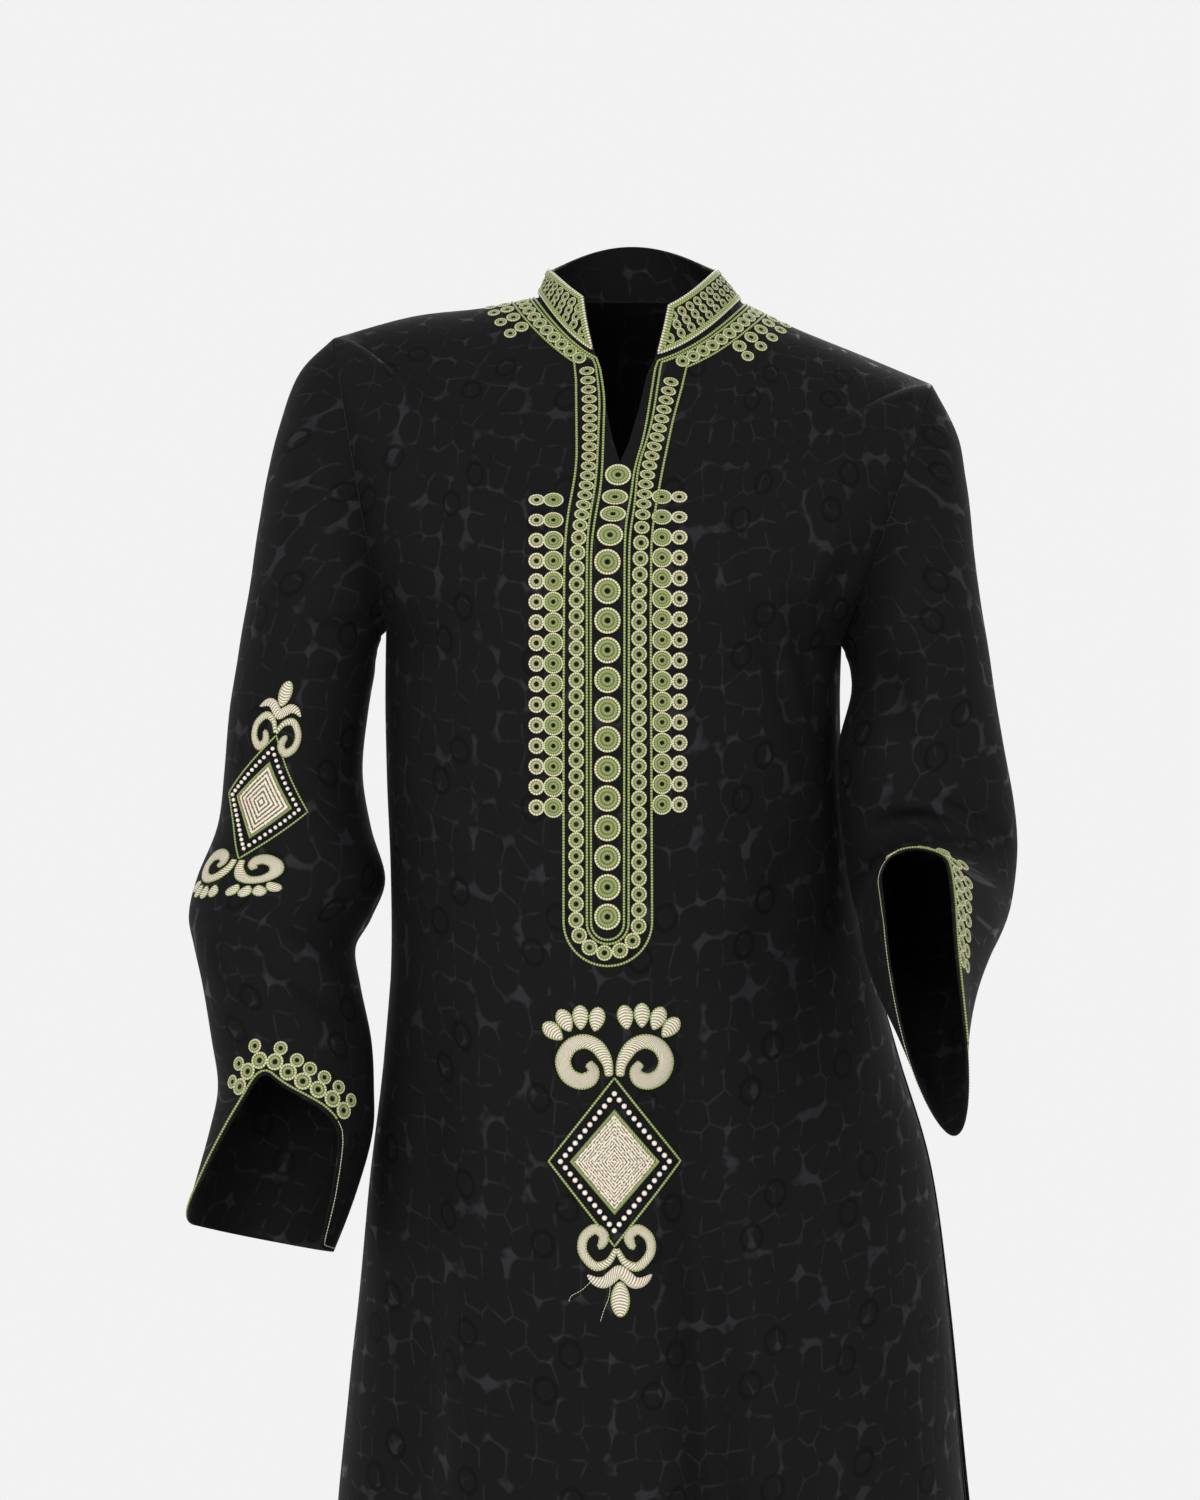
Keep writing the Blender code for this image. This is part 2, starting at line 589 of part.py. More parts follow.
def lozenge_shares():
    """A lozenge's grid, as shares of its half width and half height, with its core's height."""
    steps = np.linspace(0, 1, LOZENGE_CELLS + 1)
    down, along = np.meshgrid(steps, steps, indexing="ij")
    across, up = along - down, 1 - along - down
    core = np.where(np.maximum(abs(2 * along - 1), abs(2 * down - 1)) < 0.7, LOZENGE_CORE, 0)
    return across, up, core


def front_lozenge(surface, collection):
    """The lozenge worked on the front below the placket."""
    middle_x, middle_z, half_width, half_height = FRONT_LOZENGE
    across, up, core = lozenge_shares()
    base = on_front(surface, middle_x + across * half_width, middle_z + up * half_height)
    out = np.zeros_like(base) + (0, -1, 0)
    applied("front_lozenge", base, out, core, GOLD_THREAD, collection)


def sleeve_lozenge(name, side, collection):
    """The lozenge worked on a sleeve's outer side, above the elbow."""
    row = SLEEVE_LOZENGES[side]
    across, up, core = lozenge_shares()
    ring = through(RINGS[side], np.array(row.place))
    beside = sleeve_point(side, np.array([row.place - 0.5, row.place + 0.5]), math.radians(row.angle))
    turn = math.radians(row.turn)
    aside = across * row.half_width * math.cos(turn) + up * row.half_height * math.sin(turn)
    upward = up * row.half_height * math.cos(turn) - across * row.half_width * math.sin(turn)
    place = row.place - upward / np.linalg.norm(beside[1] - beside[0])
    angle = math.radians(row.angle) - side * aside / (ring[3] + ring[4]) * 4
    base = sleeve_point(side, place, angle)
    step = 0.02
    along = sleeve_point(side, place, angle - side * step) - base
    down = sleeve_point(side, place + step, angle) - base
    out = unit(np.cross(down, along))
    applied(name, base + out * SLEEVE_LIFT, out, core, GOLD_THREAD, collection)


def yoke(front, back, normals, collection):
    """The embroidered band round the neck seam, from one edge of the slit to the other."""
    half = FRONT_COLUMNS // 2
    rows = YOKE_ROWS

    def joined(first, second):
        return np.concatenate(
            (first[:rows, half::-1][:, :-1], second[:rows, ::-1], first[:rows, half + 1 :][:, ::-1][:, 1:]),
            axis=1,
        )

    base = joined(front, back)[::-1].copy()
    out = joined(*normals)[::-1]
    base[-1] += unit(base[-2] - base[-1]) * YOKE_INSET
    for column, beside in ((0, 1), (-1, -2)):
        base[:, column] += unit(base[:, beside] - base[:, column]) * YOKE_INSET
    applied("yoke_embroidery", base, out, np.zeros(base.shape[:2]), GREEN_THREAD, collection)


def build():
    """Makes every piece of the kaftan in its own collection."""
    for old in list(bpy.data.objects):
        bpy.data.objects.remove(old)
    collection = bpy.data.collections.new(NAME)
    bpy.context.scene.collection.children.link(collection)
    levels = body_levels()
    front, back = front_grid(levels), back_grid(levels)
    sleeves = {side: sleeve_grid(side) for side in (RIGHT, LEFT)}
    collar = collar_grid(front, back)
    grids = {
        "front": (front, split_normals(front)),
        "back": (back, outward(back)),
        "right_sleeve": (sleeves[RIGHT], outward(sleeves[RIGHT], ring=True)),
        "left_sleeve": (sleeves[LEFT], outward(sleeves[LEFT], ring=True)),
        "stand_collar": (collar, outward(collar)),
    }
    share_normals(list(grids.values()), armhole_normals(sleeves))
    surfaces = {}
    for name, (grid, normals) in grids.items():
        thickness = COLLAR_CLOTH if name == "stand_collar" else CLOTH
        inner = grid - normals * thickness
        outer = grid.copy()
        is_sleeve = name.endswith("sleeve")
        for face in (outer, inner):
            ease(face, ARMHOLE_EASE if is_sleeve else SEAM_EASE, sides=name in ("front", "back"))
        surfaces[name] = wall(
            name,
            outer,
            inner,
            JACQUARD,
            collection,
            ring=is_sleeve,
            parted=FRONT_COLUMNS // 2 if name == "front" else None,
        )
    yoke(front, back, (grids["front"][1], grids["back"][1]), collection)
    placket_band(levels, surfaces["front"], collection)
    comb("right_roundel_block", RIGHT, levels, surfaces["front"], collection)
    comb("left_roundel_block", LEFT, levels, surfaces["front"], collection)
    front_lozenge(surfaces["front"], collection)
    sleeve_lozenge("right_sleeve_lozenge", RIGHT, collection)
    sleeve_lozenge("left_sleeve_lozenge", LEFT, collection)


build()
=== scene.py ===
"""Looks of the moroccan kaftan: fine jacquard cloth, coiled-cord embroidery, finishes and studio.

Metres, +Z up. The front faces -Y and the wearer's right is at -X. The cloth pieces repeat the
construction's own forms on a finer grid, with creases, and the embroidery is set on that cloth.
"""

import logging
import math
from collections.abc import Callable, Sequence
from dataclasses import dataclass, field
from enum import Enum
from functools import cached_property
from typing import NamedTuple

import bpy
import numpy as np
from mathutils import Matrix, Vector
from mathutils.bvhtree import BVHTree


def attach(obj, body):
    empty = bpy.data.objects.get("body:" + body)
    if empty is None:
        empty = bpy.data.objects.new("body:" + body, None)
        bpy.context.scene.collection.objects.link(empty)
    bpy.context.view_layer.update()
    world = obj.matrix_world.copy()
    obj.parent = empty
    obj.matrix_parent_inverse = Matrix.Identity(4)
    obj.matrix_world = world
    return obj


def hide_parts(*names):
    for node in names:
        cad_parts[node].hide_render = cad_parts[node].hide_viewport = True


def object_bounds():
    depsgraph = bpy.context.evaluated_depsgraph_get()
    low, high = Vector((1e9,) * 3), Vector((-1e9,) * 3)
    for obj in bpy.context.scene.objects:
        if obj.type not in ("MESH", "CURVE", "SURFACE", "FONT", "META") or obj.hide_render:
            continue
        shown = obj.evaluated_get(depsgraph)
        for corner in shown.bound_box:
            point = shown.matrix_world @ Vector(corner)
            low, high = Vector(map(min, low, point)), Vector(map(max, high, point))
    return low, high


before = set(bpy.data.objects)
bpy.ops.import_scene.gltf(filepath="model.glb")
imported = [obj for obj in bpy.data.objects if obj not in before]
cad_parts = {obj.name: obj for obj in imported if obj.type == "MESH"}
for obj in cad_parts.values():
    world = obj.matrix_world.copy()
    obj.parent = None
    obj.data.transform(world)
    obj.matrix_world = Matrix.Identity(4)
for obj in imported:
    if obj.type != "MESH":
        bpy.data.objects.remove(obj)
CAD_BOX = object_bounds()

LOG = logging.getLogger("kaftan")
Array = np.ndarray
Pair = tuple[float, float]
Piece = bpy.types.Object
Material = bpy.types.Material
Tree = bpy.types.NodeTree
Socket = bpy.types.NodeSocket
Node = bpy.types.Node
BODY = "root"
MM = 0.001


class Side(Enum):
    """The wearer's side, as the sign of X."""

    RIGHT = -1
    LEFT = 1


class Face(Enum):
    """The front or the back of the body, as the sign of Y."""

    FRONT = -1
    BACK = 1


class Slot(Enum):
    """The record's material slots."""

    JACQUARD = "jacquard"
    GREEN = "green_thread"
    GOLD = "gold_thread"


class Ring(NamedTuple):
    """A sleeve's section: an ellipse about a point, tilted, bent, turned inwards and leaning."""

    x: float
    y: float
    z: float
    width: float
    depth: float
    tilt: float
    bend: float
    turn: float
    lean: float = 0.0


class Notch(NamedTuple):
    """How far the cuff's edge is set back at an angle round the sleeve."""

    angle: float
    setback: float


class Level(NamedTuple):
    """A level of the body: its seams' points and the middles of the front and the back."""

    right_x: float
    right_z: float
    left_x: float
    left_z: float
    front_x: float
    front_y: float
    front_z: float
    back_x: float
    back_y: float
    back_z: float


class Middle(NamedTuple):
    """The middles of the front and the back at a level whose ends are on the armholes."""

    front_x: float
    front_y: float
    front_z: float
    back_x: float
    back_y: float
    back_z: float


class Fold(NamedTuple):
    """A fold of the skirt: a trough from its head to the hem, deeper as it falls."""

    face: Face
    head_x: float
    head_z: float
    hem_x: float
    depth: float
    width: float


class Crease(NamedTuple):
    """A soft ridge, or a trough where its height is negative, along a route of (x, z) points."""

    face: Face
    height: float
    width: float
    route: tuple[Pair, ...]


def unit(vectors: Array) -> Array:
    """The vectors along the last axis, each of length 1."""
    return vectors / np.maximum(np.linalg.norm(vectors, axis=-1, keepdims=True), 1e-12)


def smooth_step(value: Array) -> Array:
    """A soft ramp from 0 to 1 as the value goes from 0 to 1."""
    share = np.clip(value, 0, 1)
    return share * share * (3 - 2 * share)


def through(table: Sequence[Sequence[float]] | Array, place: Array | float) -> Array:
    """The table's columns at a fractional row, on a smooth curve through its rows.

    Args:
        table: rows of numbers.
        place: fractional row numbers, of any shape.

    Returns:
        An array of the places' shape with one more axis, for the columns.
    """
    values = np.asarray(table, float)
    place = np.clip(np.asarray(place, float), 0, len(values) - 1)
    start = np.minimum(place.astype(int), len(values) - 2)
    share = (place - start)[..., None]
    rows = [values[np.clip(start + step, 0, len(values) - 1)] for step in (-1, 0, 1, 2)]
    before, first, second, after = rows
    rise = (second - before) / 2
    fall = (after - first) / 2
    gap = second - first
    return first + share * (rise + share * (3 * gap - 2 * rise - fall + share * (rise + fall - 2 * gap)))


def lengths_along(points: Array, axis: int = 0) -> Array:
    """The length walked along an axis of a grid of points, 0 at its first point.

    Args:
        points: the grid.
        axis: the axis.

    Returns:
        The length at each point.
    """
    steps = np.linalg.norm(np.diff(points, axis=axis), axis=-1)
    start = np.zeros_like(np.take(steps, [0], axis=axis))
    return np.concatenate((start, np.cumsum(steps, axis=axis)), axis=axis)


def outward(grid: Array, ring: bool = False) -> Array:
    """The outward normal at each of a grid's points.

    Args:
        grid: the points, rows running down and columns round.
        ring: whether the last column meets the first.

    Returns:
        A normal for each point.
    """
    if ring:
        along = np.roll(grid, -1, axis=1) - np.roll(grid, 1, axis=1)
    else:
        along = np.gradient(grid, axis=1)
    return unit(np.cross(np.gradient(grid, axis=0), along))


RIGHT_RINGS = (
    Ring(-0.2088, 0.000, -0.1305, 0.2222, 0.110, 80, 0, 0),
    Ring(-0.2230, 0.000, -0.1453, 0.2058, 0.122, 73, 0, 0),
    Ring(-0.2315, 0.000, -0.1683, 0.1748, 0.126, 64, 0, 0),
    Ring(-0.2365, 0.001, -0.1880, 0.1506, 0.126, 56, 0, 0),
    Ring(-0.2403, 0.002, -0.2082, 0.1288, 0.124, 46, 0, 0),
    Ring(-0.2440, 0.003, -0.2344, 0.1090, 0.120, 30, 0, 0),
    Ring(-0.2490, 0.004, -0.2655, 0.1032, 0.116, 12, 0, 0),
    Ring(-0.2548, 0.005, -0.3010, 0.1036, 0.115, 1, 0, 0),
    Ring(-0.2590, 0.006, -0.3450, 0.1030, 0.114, 0, 2, 0),
    Ring(-0.2585, 0.007, -0.3860, 0.1150, 0.120, 0, 5, 0),
    Ring(-0.2600, 0.006, -0.4240, 0.1400, 0.130, 0, 10, 0),
    Ring(-0.2680, 0.001, -0.4520, 0.1360, 0.130, 0, 14, 0),
    Ring(-0.2720, -0.005, -0.4740, 0.1200, 0.118, 0, 17, 0),
    Ring(-0.2665, -0.013, -0.5040, 0.1170, 0.112, 0, 18, 0),
    Ring(-0.2587, -0.024, -0.5435, 0.1184, 0.110, 0, 18, 0),
    Ring(-0.2545, -0.033, -0.5780, 0.1154, 0.112, 0, 17, 0),
    Ring(-0.2575, -0.040, -0.6100, 0.1200, 0.118, 0, 15, 0),
    Ring(-0.2690, -0.048, -0.6530, 0.1200, 0.128, 0, 12, 0),
    Ring(-0.2800, -0.055, -0.6860, 0.1100, 0.136, 11, 8, 0),
)
LEFT_RINGS = (
    Ring(0.1836, -0.004, -0.1530, 0.2054, 0.110, 71, 0, 0),
    Ring(0.1940, -0.006, -0.1740, 0.1808, 0.122, 62, 0, 0),
    Ring(0.1975, -0.009, -0.1930, 0.1570, 0.124, 55, 0, 0),
    Ring(0.2015, -0.013, -0.2220, 0.1260, 0.122, 42, 0, 0),
    Ring(0.2048, -0.018, -0.2485, 0.1085, 0.118, 26, 1, 0),
    Ring(0.2075, -0.030, -0.2785, 0.1055, 0.116, 9, 3, 0),
    Ring(0.2058, -0.046, -0.3235, 0.1215, 0.116, 2, 8, 0),
    Ring(0.2098, -0.052, -0.3660, 0.1275, 0.118, 0, 18, 2),
    Ring(0.2125, -0.058, -0.4000, 0.1270, 0.122, 0, 36, 5),
    Ring(0.2123, -0.070, -0.4260, 0.1205, 0.116, 0, 56, 8),
    Ring(0.2105, -0.092, -0.4420, 0.1090, 0.106, 0, 72, 10),
    Ring(0.2060, -0.122, -0.4520, 0.0990, 0.110, 0, 80, 11, 2),
    Ring(0.2000, -0.155, -0.4650, 0.0850, 0.134, 0, 84, 12, 5),
    Ring(0.1985, -0.192, -0.4820, 0.0620, 0.168, 0, 87, 12, 8),
    Ring(0.1975, -0.232, -0.4980, 0.0460, 0.198, 0, 90, 12, 11),
)


@dataclass(frozen=True)
class SleeveForm:
    """A sleeve's outer face, as a smooth surface through its rings."""

    side: Side
    rings: tuple[Ring, ...]
    notch: tuple[Notch, ...] = (
        Notch(-60, 0.0), Notch(-15, 0.0), Notch(0, 0.010), Notch(20, 0.030), Notch(31, 0.048),
        Notch(45, 0.068), Notch(56, 0.088), Notch(67, 0.110), Notch(84, 0.094), Notch(100, 0.085),
        Notch(116, 0.077), Notch(130, 0.066), Notch(138, 0.055), Notch(145, 0.0), Notch(300, 0.0),
    )
    notch_rings: float = 4.5
    notch_softness: float = 7.0

    @property
    def last(self) -> int:
        """The cuff's ring."""
        return len(self.rings) - 1

    @cached_property
    def ring_length(self) -> float:
        """The cloth's length between the last two rings.

        Returns:
            The length.
        """
        angles = np.linspace(0, 2 * math.pi, 20, endpoint=False)
        ends = self.point(np.array([self.last - 1.0, float(self.last)])[:, None], angles)
        return float(np.linalg.norm(ends[1] - ends[0], axis=-1).mean())

    @cached_property
    def cuff_radius(self) -> float:
        """The cuff's mean radius."""
        return (self.rings[-2].width + self.rings[-2].depth) / 4

    def point(self, place: Array | float, angle: Array | float) -> Array:
        """Points of the outer face.

        Args:
            place: fractional rings from the armhole.
            angle: radians round the sleeve, 0 on its outer side and a quarter turn at its front.

        Returns:
            The points, with X, Y and Z on the last axis.
        """
        ring = np.moveaxis(through(self.rings, place), -1, 0)
        x, y, z, width, depth, tilt, bend, turn, lean = ring
        tilt, bend, turn = np.radians(tilt), np.radians(bend), np.radians(turn) * self.side.value
        across = width / 2 * np.cos(angle)
        forward = depth / 2 * np.sin(angle)
        aside = across * np.cos(tilt) - forward * np.tan(np.radians(lean))
        level_x = aside * self.side.value
        level_y = -forward * np.cos(bend)
        return np.stack(
            (
                x + level_x * np.cos(turn) + level_y * np.sin(turn),
                y - level_x * np.sin(turn) + level_y * np.cos(turn),
                z + across * np.sin(tilt) + forward * np.sin(bend),
            ),
            axis=-1,
        )

    def setback(self, angle: Array | float) -> Array:
        """How far the cuff's edge is set back at an angle, with the notch's corners softened.

        Args:
            angle: the angle round the cuff, in radians.

        Returns:
            How far up from the plain edge it lies.
        """
        at = [row.angle for row in self.notch]
        back = [row.setback for row in self.notch]
        spread = np.linspace(-self.notch_softness, self.notch_softness, 7)
        turned = (np.degrees(np.asarray(angle))[..., None] + spread + 60) % 360 - 60
        return np.interp(turned, at, back).mean(axis=-1)

    def grid(self, columns: int, steps: int) -> Array:
        """The outer points: steps rows for each ring, and columns round it.

        Args:
            columns: how many points go round.
            steps: how many rows go from ring to ring.

        Returns:
            The points, rows running down.
        """
        angles = -self.side.value * 2 * math.pi * np.arange(columns) / columns
        places = np.linspace(0, self.last, self.last * steps + 1)[:, None] + 0 * angles
        ramp = np.clip((places - self.last + self.notch_rings) / self.notch_rings, 0, 1) ** 1.5
        shifted = places - ramp * self.setback(angles) / self.ring_length
        return self.point(shifted, angles + 0 * places)


@dataclass(frozen=True)
class BodyForm:
    """The front's and the back's outer faces, as smooth surfaces through levels."""

    sleeves: dict[Side, SleeveForm]
    shoulders: tuple[Level, ...] = (
        Level(-0.0757, 0.009, 0.0760, 0.005, -0.0116, -0.066, -0.045, 0.000, 0.062, 0.012),
        Level(-0.1180, 0.001, 0.1160, -0.014, -0.0135, -0.086, -0.081, -0.002, 0.090, -0.022),
        Level(-0.1700, -0.005, 0.1650, -0.034, -0.0155, -0.105, -0.120, -0.004, 0.105, -0.056),
    )
    armholes: tuple[Middle, ...] = (
        Middle(-0.0200, -0.115, -0.150, -0.006, 0.111, -0.087),
        Middle(-0.0230, -0.122, -0.177, -0.007, 0.115, -0.126),
        Middle(-0.0245, -0.127, -0.203, -0.008, 0.116, -0.165),
        Middle(-0.0245, -0.130, -0.229, -0.009, 0.114, -0.203),
        Middle(-0.0245, -0.131, -0.256, -0.010, 0.111, -0.239),
        Middle(-0.0245, -0.131, -0.285, -0.010, 0.108, -0.275),
    )
    sides: tuple[Level, ...] = (
        Level(-0.1900, -0.290, 0.1490, -0.296, -0.0245, -0.129, -0.327, -0.010, 0.104, -0.320),
        Level(-0.1887, -0.348, 0.1510, -0.352, -0.0245, -0.126, -0.375, -0.010, 0.100, -0.372),
        Level(-0.1860, -0.418, 0.1590, -0.420, -0.0245, -0.124, -0.432, -0.009, 0.100, -0.430),
        Level(-0.1856, -0.490, 0.1750, -0.490, -0.0240, -0.125, -0.494, -0.006, 0.107, -0.492),
        Level(-0.1900, -0.560, 0.1930, -0.560, -0.0205, -0.129, -0.560, -0.003, 0.119, -0.560),
        Level(-0.1982, -0.640, 0.2160, -0.640, -0.0180, -0.136, -0.640, 0.002, 0.131, -0.640),
        Level(-0.2068, -0.740, 0.2290, -0.740, -0.0155, -0.146, -0.740, 0.006, 0.143, -0.740),
        Level(-0.2190, -0.870, 0.2400, -0.870, -0.0140, -0.159, -0.870, 0.009, 0.157, -0.870),
        Level(-0.2315, -1.030, 0.2550, -1.030, -0.0125, -0.174, -1.030, 0.011, 0.172, -1.030),
        Level(-0.2460, -1.205, 0.2730, -1.205, -0.0115, -0.189, -1.205, 0.013, 0.187, -1.205),
        Level(-0.2600, -1.380, 0.2915, -1.380, -0.0100, -0.203, -1.380, 0.015, 0.202, -1.380),
    )
    sweeps: tuple[int, ...] = (90, 84, 74, 64, 56, 52, 53, 62, 82) + (90,) * 11
    slit: tuple[Pair, ...] = ((0.0, 0.0220), (0.43, 0.0160), (1.0, 0.0120), (1.6, 0.0058), (2.0, 0.0))
    folds: tuple[Fold, ...] = (
        Fold(Face.FRONT, -0.1480, -0.500, -0.198, 0.026, 0.017),
        Fold(Face.FRONT, 0.0240, -0.488, 0.098, 0.034, 0.016),
        Fold(Face.FRONT, 0.1500, -0.720, 0.205, 0.016, 0.018),
        Fold(Face.FRONT, -0.0700, -0.860, -0.085, 0.012, 0.020),
        Fold(Face.BACK, -0.1250, -0.560, -0.180, 0.026, 0.018),
        Fold(Face.BACK, -0.0300, -0.480, -0.050, 0.032, 0.018),
        Fold(Face.BACK, 0.0750, -0.620, 0.110, 0.022, 0.017),
        Fold(Face.BACK, 0.1500, -0.500, 0.215, 0.028, 0.018),
    )
    ridge_share: float = 0.35
    fold_widening: float = 1.0
    row_spacing: float = 0.008
    armhole_steps: int = 10

    @property
    def tip(self) -> int:
        """The level of the shoulder's tip, where the armholes start."""
        return len(self.shoulders)

    @property
    def armpit(self) -> int:
        """The level of the armpit, where the armholes end."""
        return self.tip + len(self.armholes) - 1

    @cached_property
    def levels(self) -> Array:
        """The levels' table, with the armholes' ends filled in from the sleeves.

        Returns:
            The table.
        """
        chest = []
        for step, middle in enumerate(self.armholes):
            angle = math.pi * step / (self.armpit - self.tip)
            right = self.sleeves[Side.RIGHT].point(0.0, angle)
            left = self.sleeves[Side.LEFT].point(0.0, angle)
            chest.append(Level(right[0], right[2], left[0], left[2], *middle))
        return np.array(self.shoulders + tuple(chest) + self.sides)

    def sweep(self, place: Array) -> Array:
        """How far a panel's section turns from its middle to its end, in radians."""
        return np.radians(through(np.array(self.sweeps)[:, None], place)[..., 0])

    def edge(self, place: Array, face: Face, side: Side) -> Array:
        """The end of a panel's row: on the shoulder seam, on the armhole or on the side seam.

        Args:
            place: the rows' fractional levels.
            face: the panel's face.
            side: the side they end on.

        Returns:
            The points where the rows end.
        """
        column = 0 if side is Side.RIGHT else 2
        head = through(self.levels[: self.tip + 1, column : column + 2], place)
        foot = through(self.levels[self.armpit :, column : column + 2], place - self.armpit)
        angle = np.clip((place - self.tip) / (self.armpit - self.tip), 0, 1) * math.pi
        sleeve = self.sleeves[side]
        armhole = sleeve.point(np.zeros_like(place), -face.value * angle)
        tip_y, armpit_y = (sleeve.point(0.0, turn)[1] for turn in (0.0, math.pi))
        in_head = place <= self.tip
        in_foot = place >= self.armpit
        x = np.where(in_head, head[..., 0], np.where(in_foot, foot[..., 0], armhole[..., 0]))
        z = np.where(in_head, head[..., 1], np.where(in_foot, foot[..., 1], armhole[..., 2]))
        below = np.clip(self.armpit + 3 - place, 0, 3) / 3
        seam_y = np.where(in_head, tip_y * place / self.tip, armpit_y * below)
        y = np.where(in_head | in_foot, seam_y, armhole[..., 1])
        return np.stack((x, y, z), axis=-1)

    def fold_depth(self, points: Array, face: Face) -> Array:
        """How far each point of a panel moves out of its plain form, troughs being negative.

        Args:
            points: the panel's points.
            face: its face.

        Returns:
            A height for each point.
        """
        out = np.zeros(points.shape[:-1])
        hem_z = self.sides[-1].front_z
        for fold in self.folds:
            if fold.face is not face:
                continue
            fall = np.clip((fold.head_z - points[..., 2]) / (fold.head_z - hem_z), 0, 1)
            width = fold.width * (1 + self.fold_widening * fall)
            reach = (points[..., 0] - fold.head_x - (fold.hem_x - fold.head_x) * fall) / width
            ridges = np.exp(-(np.abs(reach) - 2) ** 2)
            out += fold.depth * fall**0.75 * (self.ridge_share * ridges - np.exp(-(reach**2)))
        return out

    def point(self, place: Array, share: Array, face: Face) -> Array:
        """Points of a panel's outer face.

        Args:
            place: fractional levels from the neck seam.
            share: signed shares of the way from the panel's middle to its ends.
            face: the front or the back.

        Returns:
            The points, with X, Y and Z on the last axis.
        """
        column = 4 if face is Face.FRONT else 7
        middle = through(self.levels[:, column : column + 3], place)
        right, left = self.edge(place, face, Side.RIGHT), self.edge(place, face, Side.LEFT)
        ends = np.where((share < 0)[..., None], right, left)
        sweep = self.sweep(place)
        across = np.sin(sweep * np.abs(share)) / np.sin(sweep)
        forward = (np.cos(sweep * share) - np.cos(sweep)) / (1 - np.cos(sweep))
        upward = np.cos(math.pi / 2 * share) ** 2
        points = np.stack(
            (
                middle[..., 0] + (ends[..., 0] - middle[..., 0]) * across,
                ends[..., 1] + (middle[..., 1] - ends[..., 1]) * forward,
                ends[..., 2] + (middle[..., 2] - ends[..., 2]) * upward,
            ),
            axis=-1,
        )
        return points + unit(points * (1, 1.6, 0)) * self.fold_depth(points, face)[..., None]

    @cached_property
    def places(self) -> Array:
        """The fine grid's levels, a few millimetres apart.

        Returns:
            The fractional levels.
        """
        found = [0.0]
        for row in range(len(self.levels) - 1):
            gap = abs(self.levels[row + 1, 6] - self.levels[row, 6])
            in_armhole = self.tip <= row < self.armpit
            count = self.armhole_steps if in_armhole else max(5, round(gap / self.row_spacing))
            found += [row + (step + 1) / count for step in range(count)]
        return np.array(found)

    def front_half(self, side: Side, columns: int) -> Array:
        """The front's outer points on one side of the slit, from the slit to the panel's end.

        Args:
            side: the side of the slit.
            columns: how many steps it has from the slit to the end.

        Returns:
            The points, rows running down.
        """
        places = self.places
        gap = np.interp(places, *zip(*self.slit))
        end = self.edge(places, Face.FRONT, side)[..., 0]
        middle = through(self.levels[:, 4:5], places)[..., 0]
        sweep = self.sweep(places)
        edge = np.arcsin(gap / np.abs(end - middle) * np.sin(sweep)) / sweep
        shares = edge[:, None] + (1 - edge[:, None]) * np.linspace(0, 1, columns + 1)
        signed = np.where(shares == 0, 1e-9, shares) * side.value
        return self.point(places[:, None] + 0 * shares, signed, Face.FRONT)

    def back(self, columns: int) -> Array:
        """The back's outer points, from the wearer's left to the right."""
        shares = np.linspace(1, -1, columns + 1)
        return self.point(*np.meshgrid(self.places, shares, indexing="ij"), Face.BACK)


def fill_inputs(tree: Tree, node: Node, inputs: dict[int | str, object]) -> None:
    """Links or sets a node's inputs, where a node stands for its own first output.

    Args:
        tree: the node's tree.
        node: the node.
        inputs: a node, a socket or a value for each input.
    """
    for key, value in inputs.items():
        source = value.outputs[0] if isinstance(value, Node) else value
        if isinstance(source, Socket):
            tree.links.new(source, node.inputs[key])
        else:
            node.inputs[key].default_value = source


def add_node(
    tree: Tree,
    kind: str,
    inputs: dict[int | str, object] | None = None,
    **settings: object,
) -> Node:
    """Adds a node with its settings, its links and its values.

    Args:
        tree: the tree it goes into.
        kind: the node's type.
        inputs: a node or a socket to link from, or a value, by the input's name or number.
        settings: the node's own properties.

    Returns:
        The node.
    """
    node = tree.nodes.new(kind)
    for name, value in settings.items():
        setattr(node, name, value)
    fill_inputs(tree, node, inputs or {})
    return node


def linear(colour: str) -> tuple[float, float, float, float]:
    """The linear value of an sRGB hex colour.

    Args:
        colour: the colour, as #rrggbb.

    Returns:
        Red, green, blue and alpha.
    """
    values = [int(colour[start : start + 2], 16) / 255 for start in (1, 3, 5)]
    low = [value / 12.92 for value in values]
    high = [((value + 0.055) / 1.055) ** 2.4 for value in values]
    return (*(h if v > 0.04045 else w for v, w, h in zip(values, low, high)), 1.0)


def new_material(name: str) -> tuple[Material, Tree, Node]:
    """A new material with its tree and its Principled shader.

    Args:
        name: the material's name.

    Returns:
        The material, its tree and its shader.
    """
    material = bpy.data.materials.new(name)
    material.use_nodes = True
    tree = material.node_tree
    return material, tree, tree.nodes["Principled BSDF"]


